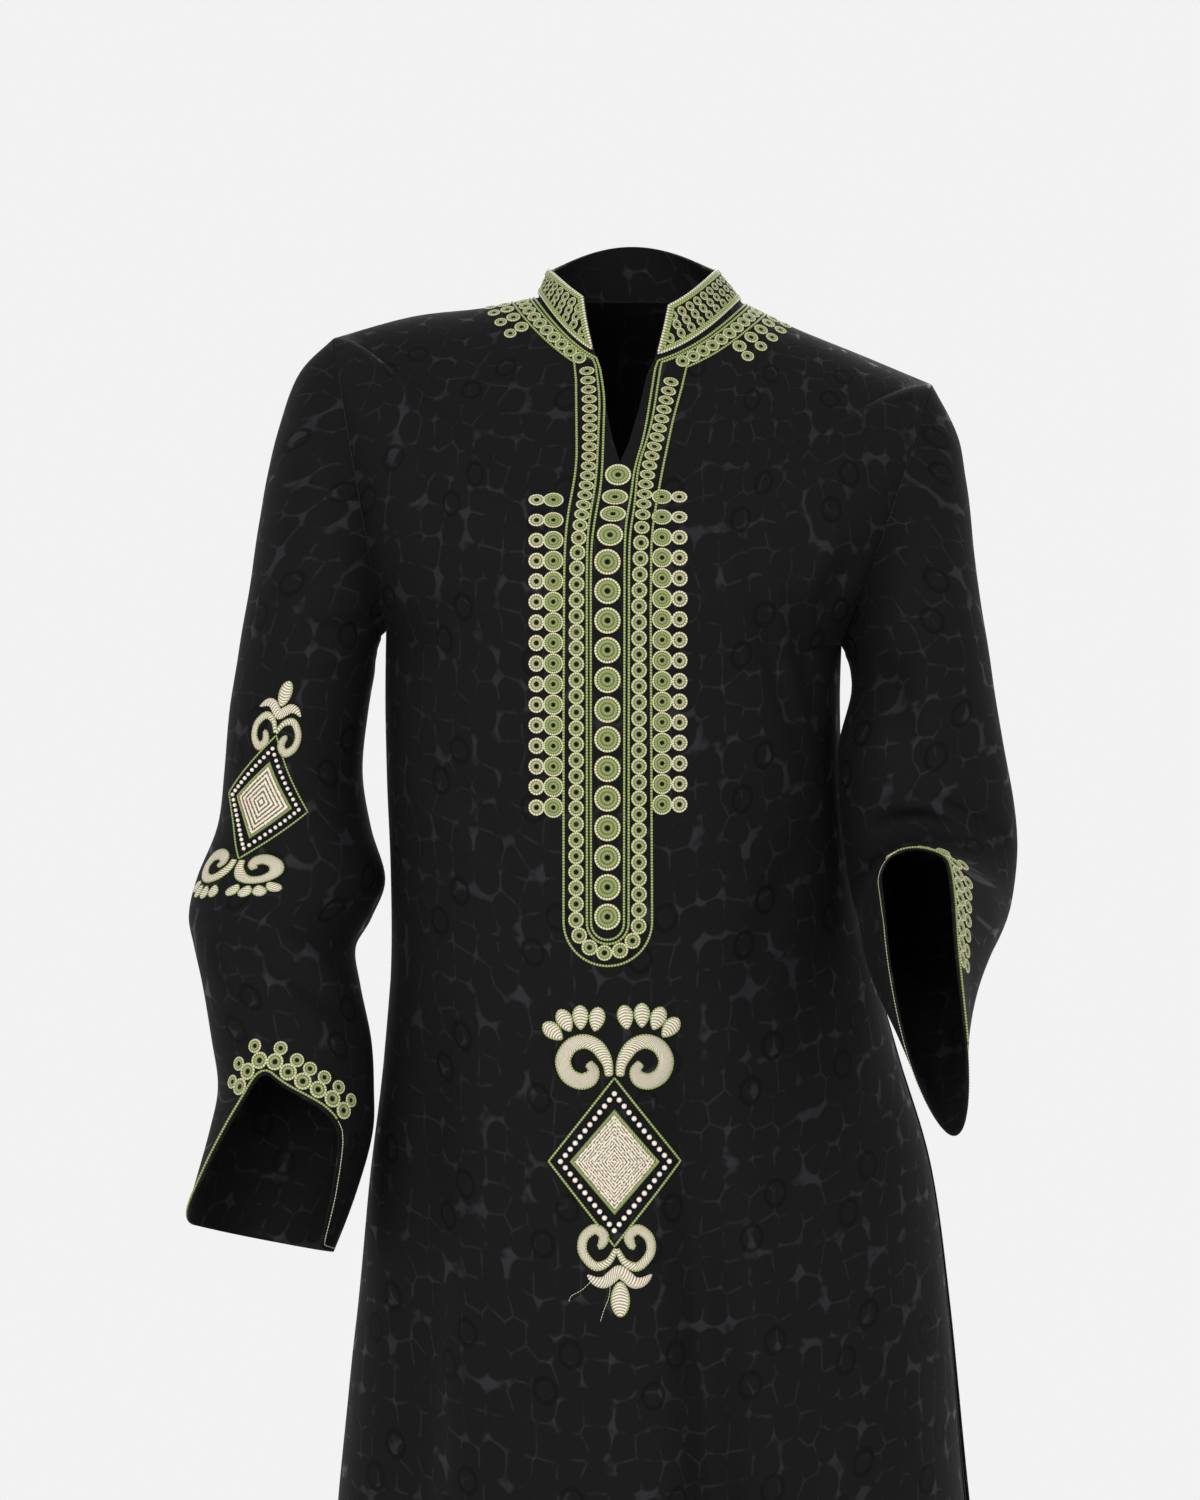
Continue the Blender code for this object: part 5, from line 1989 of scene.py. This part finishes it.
@dataclass
class Motif:
    """The lozenge motif: a woven lozenge in pearls, with scrolls, petals, a crescent and a drop."""

    name: str
    locate: Callable[[Array], Spot]
    work: Threadwork
    scale: float = 1.0
    line_half: Pair = (47.3, 59.9)
    pearl_half: Pair = (38.6, 48.6)
    pearl_count: int = 11
    pearl_size: float = 4.0
    core_half: Pair = (32.3, 37.6)
    core_border: float = 3.2
    top_scroll: tuple[Pair, ...] = (
        (-4.0, 61.2), (-4.7, 68.9), (-7.7, 76.0), (-13.5, 83.0), (-22.5, 86.0), (-32.0, 82.0), (-37.0, 72.0),
        (-33.3, 61.8), (-24.6, 57.4), (-17.5, 59.6), (-15.2, 65.3), (-19.0, 70.5),
    )
    top_width: float = 9.4
    foot_scroll: tuple[Pair, ...] = (
        (1.1, -61.7), (-4.7, -71.0), (-14.0, -73.9), (-22.6, -64.5), (-21.9, -53.8), (-14.0, -47.7),
        (-7.7, -52.3), (-9.2, -58.6), (-11.8, -60.2),
    )
    foot_width: float = 5.7
    foot_middle: float = 2.8
    petals: tuple[Petal, ...] = (
        Petal(-44.2, 93.0, 140), Petal(-35.7, 100.8, 118), Petal(-24.5, 103.1, 92), Petal(-12.7, 101.9, 80),
        Petal(7.8, 103.4, 99), Petal(19.6, 104.7, 90), Petal(31.1, 102.3, 68), Petal(40.2, 95.6, 48),
    )
    petal_size: Pair = (17.0, 10.8)
    crescent: tuple[Pair, ...] = (
        (-19.4, -80.3), (-13.5, -84.6), (-7.0, -85.2), (-1.5, -81.0), (3.4, -77.6), (8.5, -81.0),
        (14.0, -85.2), (20.4, -84.4), (26.5, -79.6),
    )
    crescent_width: float = 9.0
    drop: tuple[float, float, float, float] = (4.1, -97.2, 12.9, 24.4)
    relief: float = 0.0016
    sunk: float = 0.0003
    thread_radius: float = 0.00055
    least_scale: float = 0.85
    border_radius: float = 0.0009
    pearl_lift: float = 0.7
    frame_steps: int = 14
    border_steps: int = 26
    weave_count: int = 24
    shares: tuple[float, ...] = (-1.0, -0.86, -0.5, 0.0, 0.5, 0.86, 1.0)

    def _spot(self, flat: Array) -> Spot:
        """The cloth's places under points in the motif's millimetres."""
        return self.locate(flat * self.scale * MM)

    def _raised(self, flat: Array, heights: Array, ring: bool = False) -> Slab:
        """A closed relief, its UV map about the grid's middle.

        Args:
            flat: a grid of the motif's points.
            heights: the relief's height at each of them.
            ring: whether the last column meets the first.

        Returns:
            The relief.
        """
        spot = self._spot(flat)
        wrapped = np.concatenate((flat, flat[:, :1]), axis=1) if ring else flat
        over = lengths_along(wrapped, axis=1)
        down = lengths_along(wrapped, axis=0)
        uv = np.stack((over, down), axis=-1) * self.scale * MM
        uv = uv - uv.mean(axis=(0, 1))
        top = spot.point + spot.normal * (heights * self.scale)[..., None]
        return slab(top, spot.point - spot.normal * self.sunk, uv, ring)

    def _band(self, route: Array, widths: Array, height: float) -> Slab:
        """A domed band along a route.

        Args:
            route: the band's middle line.
            widths: its width at each point.
            height: the height of its dome.

        Returns:
            The band.
        """
        along = unit(np.gradient(route, axis=0))
        aside = np.stack((along[:, 1], -along[:, 0]), axis=-1)
        shares = np.array(self.shares)[:, None]
        flat = route + aside * (shares * widths / 2)[..., None]
        dome = np.sqrt(np.clip(1 - shares**2, 0, 1)) * (height + 0 * widths) + 0.0002
        return self._raised(flat, dome)

    def _scroll(self, route: Sequence[Pair], width: float, mirror: float | None) -> tuple[Slab, list[Array]]:
        """A scroll and its outline.

        Args:
            route: the few places it runs through.
            width: its greatest width.
            mirror: where it is mirrored across, or None.

        Returns:
            The band, and the two edges of its outline.
        """
        line = through(route, np.linspace(0, len(route) - 1, 72))
        if mirror is not None:
            line = line * (-1, 1) + (2 * mirror, 0)
        reach = np.linspace(0, 1, len(line))
        swell = (0.55 + 0.45 * smooth_step(reach / 0.25)) * (1 + 0.15 * smooth_step((reach - 0.3) / 0.4))
        widths = width * swell * (1 - 0.5 * smooth_step((reach - 0.78) / 0.22))
        widths = widths * np.clip(np.minimum(reach, 1 - reach) / 0.02 + 0.25, 0, 1)
        along = unit(np.gradient(line, axis=0))
        aside = np.stack((along[:, 1], -along[:, 0]), axis=-1)
        edges = [line + aside * (sign * widths / 2)[:, None] for sign in (-1, 1)]
        return self._band(line, widths, self.relief), edges

    def _leaf(
        self, middle: Pair, angle: float, length: float, width: float, blunt: float
    ) -> tuple[Slab, Array]:
        """A satin leaf and its outline.

        Args:
            middle: the middle of its length.
            angle: the way its tip points, in degrees.
            length: its length.
            width: its greatest width.
            blunt: how much blunter its foot is than its tip.

        Returns:
            The leaf, and its closed outline.
        """
        turn = math.radians(angle)
        axis = np.array((math.cos(turn), math.sin(turn)))
        reach = np.linspace(0.004, 0.996, 22)
        line = np.array(middle) + axis * ((reach - 0.5) * length)[:, None]
        widths = width * np.sin(math.pi * reach**blunt) ** 0.52
        aside = np.array((axis[1], -axis[0]))
        edges = [line + aside * (sign * widths / 2)[:, None] for sign in (-1, 1)]
        outline = np.concatenate((edges[0], edges[1][::-1], edges[0][:1]))
        return self._band(line, widths, self.relief), outline

    def _lozenge(self, half: Pair, steps: int) -> Array:
        """A lozenge's points, clockwise from its top, steps to a side."""
        corners = np.array(((0, half[1]), (half[0], 0), (0, -half[1]), (-half[0], 0), (0, half[1])), float)
        return through_straight(corners, np.arange(4 * steps) / steps)

    def dress(self, node: str) -> None:
        """Works the motif, which stands for its solid.

        Args:
            node: the solid's node.
        """
        golds, outlines = [], []
        for route, width, mirrored in (
            (self.top_scroll, self.top_width, 0.0),
            (self.foot_scroll, self.foot_width, self.foot_middle / 2),
        ):
            for mirror in (None, mirrored):
                band, edges = self._scroll(route, width, mirror)
                golds.append(band)
                outlines += edges
        for petal in self.petals:
            leaf, edge = self._leaf((petal.across, petal.up), petal.angle, *self.petal_size, 1.28)
            golds.append(leaf)
            outlines.append(edge)
        line = through(self.crescent, np.linspace(0, len(self.crescent) - 1, 60))
        reach = np.linspace(-1, 1, len(line))
        golds.append(self._band(line, self.crescent_width * (1 - 0.9 * reach**4), self.relief))
        across, up, width, length = self.drop
        leaf, edge = self._leaf((across, up), 90, length, width, 0.92)
        golds.append(leaf)
        outlines.append(edge)
        gold = new_piece(f"{self.name}_satin_work", golds, self.work.finishes.gold)
        ride(gold, Slot.GOLD, node)
        rims = np.array([
            self._lozenge((self.core_half[0] - inset, self.core_half[1] - inset * 1.15), self.frame_steps)
            for inset in (0.0, self.core_border * 0.3, self.core_border * 0.7, self.core_border)
        ])
        heights = np.array((0.0004, 0.0017, 0.0017, 0.0006))[:, None] + np.zeros(rims.shape[1])
        frame_piece = new_piece(
            f"{self.name}_core_frame", [self._raised(rims, heights, ring=True)], self.work.finishes.green
        )
        ride(frame_piece, Slot.GREEN)
        cells = np.linspace(0, 1, self.weave_count + 1)
        down, over = np.meshgrid(cells, cells, indexing="ij")
        half = np.array(self.core_half) - self.core_border
        flat = np.stack(((over - down) * half[0], (1 - over - down) * half[1]), axis=-1)
        turns = math.pi * self.weave_count
        weave = 0.0008 + 0.00018 * np.cos(turns * over) * np.cos(turns * down)
        finish = self.work.finishes.fill if self.scale == 1 else self.work.finishes.ringed_fill
        ride(new_piece(f"{self.name}_woven_fill", [self._raised(flat, weave)], finish), Slot.GOLD)
        border = self._lozenge(self.line_half, self.border_steps)
        outlines.append(np.concatenate((border, border[:1])))
        self._cords(outlines)
        self._pearls()

    def _cords(self, outlines: Sequence[Array]) -> None:
        """The green outline of every part.

        Args:
            outlines: the paths, the border's last.
        """
        thin = self.thread_radius * max(self.scale, self.least_scale)
        paths = []
        for outline in outlines[:-1]:
            path = self.work.laid(self._spot(outline), thin)
            if np.linalg.norm(outline[0] - outline[-1]) < 1e-9:
                path[-1] = path[0]
            paths.append(path)
        self.work.cords(f"{self.name}_outlines", paths, Slot.GREEN, thin)
        border = self.work.laid(self._spot(outlines[-1]))
        border[-1] = border[0]
        self.work.cords(f"{self.name}_border_cord", [border], Slot.GREEN, self.border_radius * self.scale)

    def _pearls(self) -> None:
        """The row of pearls inside the border."""
        spot = self._spot(self._lozenge(self.pearl_half, self.pearl_count))
        radius = self.pearl_size * self.scale * MM / 2
        sizes = np.full(spot.point.shape, radius)
        marks = Marks(spot.point + spot.normal * radius * self.pearl_lift, np.zeros_like(sizes), sizes)
        finish = self.work.finishes.pearl
        self.work.parts(f"{self.name}_pearls", [marks], self.work.pearl, finish, Slot.GOLD)


def through_straight(table: Array, place: Array) -> Array:
    """The table's columns at fractional rows, on straight lines between its rows."""
    rows = np.arange(len(table))
    return np.stack([np.interp(place, rows, column) for column in np.asarray(table).T], axis=-1)


@dataclass(frozen=True)
class FrontPlace:
    """Where the front's motif is, as seen from the front."""

    cloth: Cloth
    x: float = -0.0194
    z: float = -0.6239

    def __call__(self, flat: Array) -> Spot:
        """The cloth's places under points in metres from the motif's middle."""
        return self.cloth.from_front(self.x + flat[..., 0], self.z + flat[..., 1])


@dataclass(frozen=True)
class SleevePlace:
    """Where a sleeve's motif is: a ring, an angle and a turn. It is worked upside down."""

    form: SleeveForm
    cloth: Cloth
    ring: float
    angle: float
    turn: float

    def __call__(self, flat: Array) -> Spot:
        """The cloth's places under points in metres from the motif's middle.

        Args:
            flat: the points, across and up.

        Returns:
            The places, with their normals.
        """
        middle = through(self.form.rings, self.ring)
        around = self.form.point(np.array([self.ring - 0.5, self.ring + 0.5]), math.radians(self.angle))
        length = np.linalg.norm(around[1] - around[0])
        radius = (middle[3] + middle[4]) / 4
        turn = math.radians(self.turn)
        down = flat[..., 1] * math.cos(turn) - flat[..., 0] * math.sin(turn)
        aside = flat[..., 0] * math.cos(turn) + flat[..., 1] * math.sin(turn)
        place = self.ring + down / length
        angle = math.radians(self.angle) + self.form.side.value * aside / radius
        return self.cloth.nearest(self.form.point(place, angle))


@dataclass
class Seams:
    """The seams' own threads: a black cord along every seam, where the edges are drawn together."""

    kaftan: "Kaftan"
    work: Threadwork
    radius: float = 0.00045
    depth: float = 0.0009

    def _edges(self) -> list[Array]:
        """Every seam's line, a little under the cloth's face.

        Returns:
            A path for each line.
        """
        pieces, body = self.kaftan.pieces, self.kaftan.body
        places = body.places
        paths = []
        inner = {name: piece.outer - piece.normals * self.depth for name, piece in pieces.items()}
        neck = inner["stand_collar"][0]
        paths.append(neck)
        for column in (0, -1):
            whole = (inner["front"][:, column] + inner["back"][:, -1 - column]) / 2
            paths += [whole[places <= body.tip], whole[places >= body.armpit]]
        for name in ("right_sleeve", "left_sleeve"):
            ring = inner[name][0]
            paths.append(np.concatenate((ring, ring[:1])))
        return paths

    def dress(self) -> None:
        """Sews the seams."""
        self.work.cords("seam_threads", self._edges(), Slot.JACQUARD, self.radius)


@dataclass
class LooseThreads:
    """Two thread ends that hang from the front motif's foot."""

    cloth: Cloth
    work: Threadwork
    routes: tuple[tuple[Pair, ...], ...] = (
        ((-0.0365, -0.7090), (-0.0430, -0.7150), (-0.0500, -0.7190), (-0.0520, -0.7230)),
        ((-0.0225, -0.7120), (-0.0235, -0.7200), (-0.0270, -0.7290), (-0.0295, -0.7370)),
    )

    def dress(self) -> None:
        """Lays the two ends on the cloth."""
        paths = []
        for route in self.routes:
            line = through(route, np.linspace(0, len(route) - 1, 14))
            paths.append(self.work.laid(self.cloth.from_front(*line.T)))
        self.work.cords("loose_thread_ends", paths, Slot.GOLD, 0.00020)


@dataclass(frozen=True)
class Studio:
    """The pale floor, the soft light and the camera."""

    eye: tuple[float, float, float] = (-0.02985, -3.5, -0.32836)
    view_height: float = 1.119
    sensor_mm: float = 36.0
    backdrop: str = "#f2f2f2"
    floor_gap: float = 0.004
    floor_radius: float = 2.2

    def build(self, floor_z: float) -> None:
        """Makes the floor, the world, the lights and the camera.

        Args:
            floor_z: the height of the floor.
        """
        bpy.ops.mesh.primitive_circle_add(
            vertices=96, radius=self.floor_radius, fill_type="NGON", location=(0, 0, floor_z - self.floor_gap)
        )
        floor = bpy.context.object
        floor.name = "studio_floor"
        material, tree, shader = new_material("painted_studio_floor")
        place = add_node(tree, "ShaderNodeTexCoord").outputs["Object"]
        mottle = add_node(tree, "ShaderNodeTexNoise", {"Vector": place, "Scale": 3.0})
        tone = add_node(
            tree, "ShaderNodeMix",
            {"Factor": mottle.outputs["Fac"], 6: linear("#e9e9e9"), 7: linear("#f0f0f0")}, data_type="RGBA",
        ).outputs[2]
        tree.links.new(tone, shader.inputs["Base Color"])
        shader.inputs["Roughness"].default_value = 0.8
        floor.data.materials.append(material)
        world = bpy.data.worlds.new("studio")
        world.use_nodes = True
        background = world.node_tree.nodes["Background"]
        background.inputs["Color"].default_value = linear(self.backdrop)
        background.inputs["Strength"].default_value = 1.0
        bpy.context.scene.world = world
        self._light("key", (-1.2, -3.0, 0.3), 1.8, 40.0)
        self._light("fill", (1.6, -2.8, -0.3), 2.0, 18.0)
        self._light("rim", (0.6, 2.4, 1.6), 1.6, 30.0)
        camera_data = bpy.data.cameras.new("camera")
        camera_data.sensor_width = self.sensor_mm
        camera_data.lens = self.sensor_mm * -self.eye[1] / self.view_height
        camera = bpy.data.objects.new("camera", camera_data)
        camera.location = self.eye
        camera.rotation_euler = (math.radians(90), 0, 0)
        bpy.context.scene.collection.objects.link(camera)
        bpy.context.scene.camera = camera
        bpy.context.scene.view_settings.view_transform = "Standard"

    def _light(self, name: str, place: tuple[float, float, float], size: float, power: float) -> None:
        """A square soft light that faces the garment's middle.

        Args:
            name: its name.
            place: where it is.
            size: its side.
            power: its power in watts.
        """
        data = bpy.data.lights.new(name, "AREA")
        data.size = size
        data.energy = power
        light = bpy.data.objects.new(name, data)
        light.location = place
        aim = Vector((0, 0, -0.4)) - Vector(place)
        light.rotation_euler = aim.to_track_quat("-Z", "Y").to_euler()
        bpy.context.scene.collection.objects.link(light)


@dataclass
class Kaftan:
    """The kaftan's cloth pieces, cut to match at every seam."""

    half_columns: int = 64
    back_columns: int = 100
    ring_steps: int = 8
    cloth: float = 0.0015
    collar_cloth: float = 0.0020
    pieces: dict[str, Cloth] = field(default_factory=dict)

    def __post_init__(self) -> None:
        """Lays out the forms."""
        self.sleeves = {
            Side.RIGHT: SleeveForm(Side.RIGHT, RIGHT_RINGS), Side.LEFT: SleeveForm(Side.LEFT, LEFT_RINGS),
        }
        self.body = BodyForm(self.sleeves)

    def cut(self) -> None:
        """Shapes the front, the back, the sleeves and the collar."""
        right = self.body.front_half(Side.RIGHT, self.half_columns)
        left = self.body.front_half(Side.LEFT, self.half_columns)
        front = np.concatenate((right[:, ::-1], left), axis=1)
        back = self.body.back(self.back_columns)
        self.pieces["front"] = Cloth(
            "front", front, self.cloth, flat=(0.86, 1.44), area=0.86,
            rests_on=("right_sleeve", "left_sleeve"), creases=FRONT_CREASES, parted=self.half_columns,
            end_ease=True,
        )
        self.pieces["back"] = Cloth(
            "back", back, self.cloth, flat=(0.86, 1.44), area=0.86, rests_on=("front",),
            creases=BACK_CREASES, end_ease=True,
        )
        sleeve_columns = 2 * self.body.armhole_steps * (self.body.armpit - self.body.tip)
        for side, creases in ((Side.RIGHT, RIGHT_SLEEVE_CREASES), (Side.LEFT, LEFT_SLEEVE_CREASES)):
            name = f"{side.name.lower()}_sleeve"
            self.pieces[name] = Cloth(
                name, self.sleeves[side].grid(sleeve_columns, self.ring_steps), self.cloth,
                flat=(0.42, 0.60), area=0.21, rests_on=("front", "back"), creases=creases, ring=True,
                seam_ease=0.0006,
            )
        self.pieces["stand_collar"] = Cloth(
            "stand_collar", self._collar(front, back), self.collar_cloth, flat=(0.40, 0.045), area=0.0135,
            rests_on=("front", "back"), free_ends=True, unevenness=0.0,
        )

    def _collar(self, front: Array, back: Array) -> Array:
        """The stand collar's outer points, rows rising from the neck seam, columns end to end.

        Args:
            front: the front's points.
            back: the back's points.

        Returns:
            The collar's points.
        """
        rim = CollarRim()
        half = self.half_columns
        base = np.concatenate((front[0, half::-1][:-1], back[0, ::-1], front[0, half + 1 :][::-1][1:]))
        right = -np.radians(np.linspace(rim.right_end, 90, half + 1))[:-1]
        left = np.radians(np.linspace(rim.left_end, 90, half + 1))[:-1][::-1]
        turn = np.linspace(-math.pi / 2, math.pi / 2, self.back_columns + 1)
        angle = np.concatenate((right, turn, left))
        in_back = np.concatenate((right * 0, turn * 0 + 1, left * 0)) > 0
        facing = np.cos(angle)
        x = rim.x + rim.width / 2 * np.sin(angle)
        y = facing * np.where(in_back, rim.back_y, rim.front_y)
        z = rim.side_z + facing**2 * (np.where(in_back, rim.back_z, rim.front_z) - rim.side_z)
        top = np.stack((x, y, z), axis=-1)
        rows = []
        for rise in np.linspace(0, 1, rim.rows + 1):
            row = base + (top - base) * rise
            rows.append(row + unit(row * (1, 1, 0)) * rim.swell * math.sin(math.pi * rise))
        return np.array(rows)


@dataclass(frozen=True)
class CollarRim:
    """The stand collar's upper edge, and the angles at which its front ends stand."""

    x: float = -0.0055
    width: float = 0.1240
    front_y: float = -0.062
    back_y: float = 0.056
    side_z: float = 0.030
    front_z: float = -0.008
    back_z: float = 0.053
    right_end: float = 36
    left_end: float = 24
    rows: int = 12
    swell: float = 0.0015


def creases(face: Face, *rows: tuple[float, float, tuple[Pair, ...]]) -> tuple[Crease, ...]:
    """The creases of one face, from rows of a height, a reach and a path."""
    return tuple(Crease(face, *row) for row in rows)


FRONT_CREASES = creases(
    Face.FRONT, (-0.0050, 0.012, ((-0.169, -0.070), (-0.158, -0.140), (-0.141, -0.179))),
    (-0.0035, 0.008, ((0.078, -0.175), (0.086, -0.231), (0.097, -0.264), (0.121, -0.334))),
    (0.0030, 0.009, ((0.092, -0.190), (0.100, -0.240), (0.115, -0.290))),
    (-0.0035, 0.008, ((0.107, -0.212), (0.124, -0.282), (0.138, -0.334))),
    (-0.0040, 0.009, ((0.130, -0.240), (0.142, -0.212), (0.156, -0.186))),
    (0.0025, 0.008, ((0.112, -0.225), (0.128, -0.196), (0.146, -0.168))),
    (-0.0030, 0.010, ((-0.176, -0.250), (-0.150, -0.232), (-0.122, -0.222))),
    (-0.0028, 0.011, ((-0.172, -0.330), (-0.140, -0.352), (-0.108, -0.398), (-0.092, -0.450))),
    (0.0024, 0.010, ((-0.168, -0.360), (-0.132, -0.386), (-0.108, -0.430))),
    (-0.0030, 0.012, ((0.145, -0.380), (0.112, -0.410), (0.090, -0.455), (0.082, -0.520))),
)
BACK_CREASES = creases(
    Face.BACK, (-0.0045, 0.012, ((-0.160, -0.090), (-0.146, -0.150), (-0.118, -0.205))),
    (-0.0040, 0.011, ((0.148, -0.100), (0.132, -0.158), (0.104, -0.208))),
    (-0.0035, 0.010, ((-0.172, -0.262), (-0.138, -0.242), (-0.098, -0.236))),
    (0.0028, 0.010, ((-0.166, -0.290), (-0.128, -0.268), (-0.086, -0.262))),
    (-0.0038, 0.010, ((0.140, -0.268), (0.104, -0.256), (0.066, -0.262))),
    (-0.0035, 0.013, ((-0.090, -0.330), (-0.040, -0.352), (0.022, -0.350), (0.082, -0.328))),
    (0.0026, 0.011, ((-0.076, -0.362), (-0.020, -0.382), (0.046, -0.376))),
    (-0.0030, 0.012, ((-0.110, -0.400), (-0.060, -0.420), (0.006, -0.412))),
)
RIGHT_SLEEVE_CREASES = creases(
    Face.FRONT, (-0.0040, 0.008, ((-0.251, -0.242), (-0.221, -0.240), (-0.194, -0.233))),
    (0.0028, 0.008, ((-0.262, -0.262), (-0.232, -0.262), (-0.204, -0.258))),
    (-0.0036, 0.006, ((-0.314, -0.470), (-0.303, -0.493), (-0.287, -0.508), (-0.273, -0.509))),
    (-0.0034, 0.007, ((-0.314, -0.470), (-0.295, -0.472), (-0.274, -0.482),
     (-0.252, -0.495), (-0.232, -0.511), (-0.214, -0.527))),
    (0.0026, 0.007, ((-0.300, -0.455), (-0.272, -0.462), (-0.246, -0.476), (-0.222, -0.494))),
) + creases(
    Face.BACK, (-0.0040, 0.009, ((-0.285, -0.236), (-0.252, -0.226), (-0.214, -0.230))),
    (-0.0034, 0.008, ((-0.312, -0.452), (-0.280, -0.470), (-0.246, -0.474), (-0.220, -0.462))),
    (0.0024, 0.008, ((-0.306, -0.480), (-0.272, -0.496), (-0.236, -0.500))),
    (-0.0028, 0.009, ((-0.296, -0.330), (-0.262, -0.352), (-0.226, -0.356))),
)
LEFT_SLEEVE_CREASES = creases(
    Face.FRONT, (-0.0045, 0.010, ((0.176, -0.262), (0.186, -0.300), (0.200, -0.340), (0.214, -0.364))),
    (0.0028, 0.009, ((0.196, -0.256), (0.208, -0.296), (0.224, -0.332))),
    (-0.0032, 0.006, ((0.168, -0.386), (0.186, -0.380), (0.209, -0.379), (0.223, -0.395))),
    (-0.0032, 0.006, ((0.196, -0.362), (0.227, -0.372), (0.254, -0.387), (0.265, -0.396))),
    (0.0024, 0.006, ((0.182, -0.370), (0.210, -0.371), (0.240, -0.386))),
) + creases(
    Face.BACK, (-0.0040, 0.009, ((0.160, -0.230), (0.196, -0.238), (0.236, -0.226))),
    (-0.0040, 0.009, ((0.158, -0.380), (0.196, -0.396), (0.240, -0.392))),
    (0.0026, 0.008, ((0.160, -0.352), (0.200, -0.366), (0.244, -0.360))),
)


def main() -> None:
    """Builds the kaftan in its studio, piece by piece."""
    logging.basicConfig(level=logging.INFO, format="%(name)s %(message)s")
    finishes = Finishes.make()
    kaftan = Kaftan()
    kaftan.cut()
    for cloth in kaftan.pieces.values():
        cloth.dress(finishes.jacquard)
    work = Threadwork(finishes)
    front = kaftan.pieces["front"]
    Placket(front, work).dress()
    Yoke(front, kaftan.pieces["back"], work).dress()
    CollarWork(kaftan.pieces["stand_collar"], work).dress()
    Motif("front_motif", FrontPlace(front), work).dress("front_lozenge")
    for side, place, span in (
        (Side.RIGHT, (8.60, 68, 12), (58, 125)),
        (Side.LEFT, (6.60, -48, 0), (16, 104)),
    ):
        name = f"{side.name.lower()}_sleeve"
        form, cloth = kaftan.sleeves[side], kaftan.pieces[name]
        CuffWork(form, cloth, work, span).dress()
        locate = SleevePlace(form, cloth, *place)
        Motif(f"{name}_motif", locate, work, scale=0.77).dress(f"{name}_lozenge")
    LooseThreads(front, work).dress()
    Seams(kaftan, work).dress()
    work.put_away()
    Studio().build(CAD_BOX[0][2])


if __name__ == "__main__":
    main()
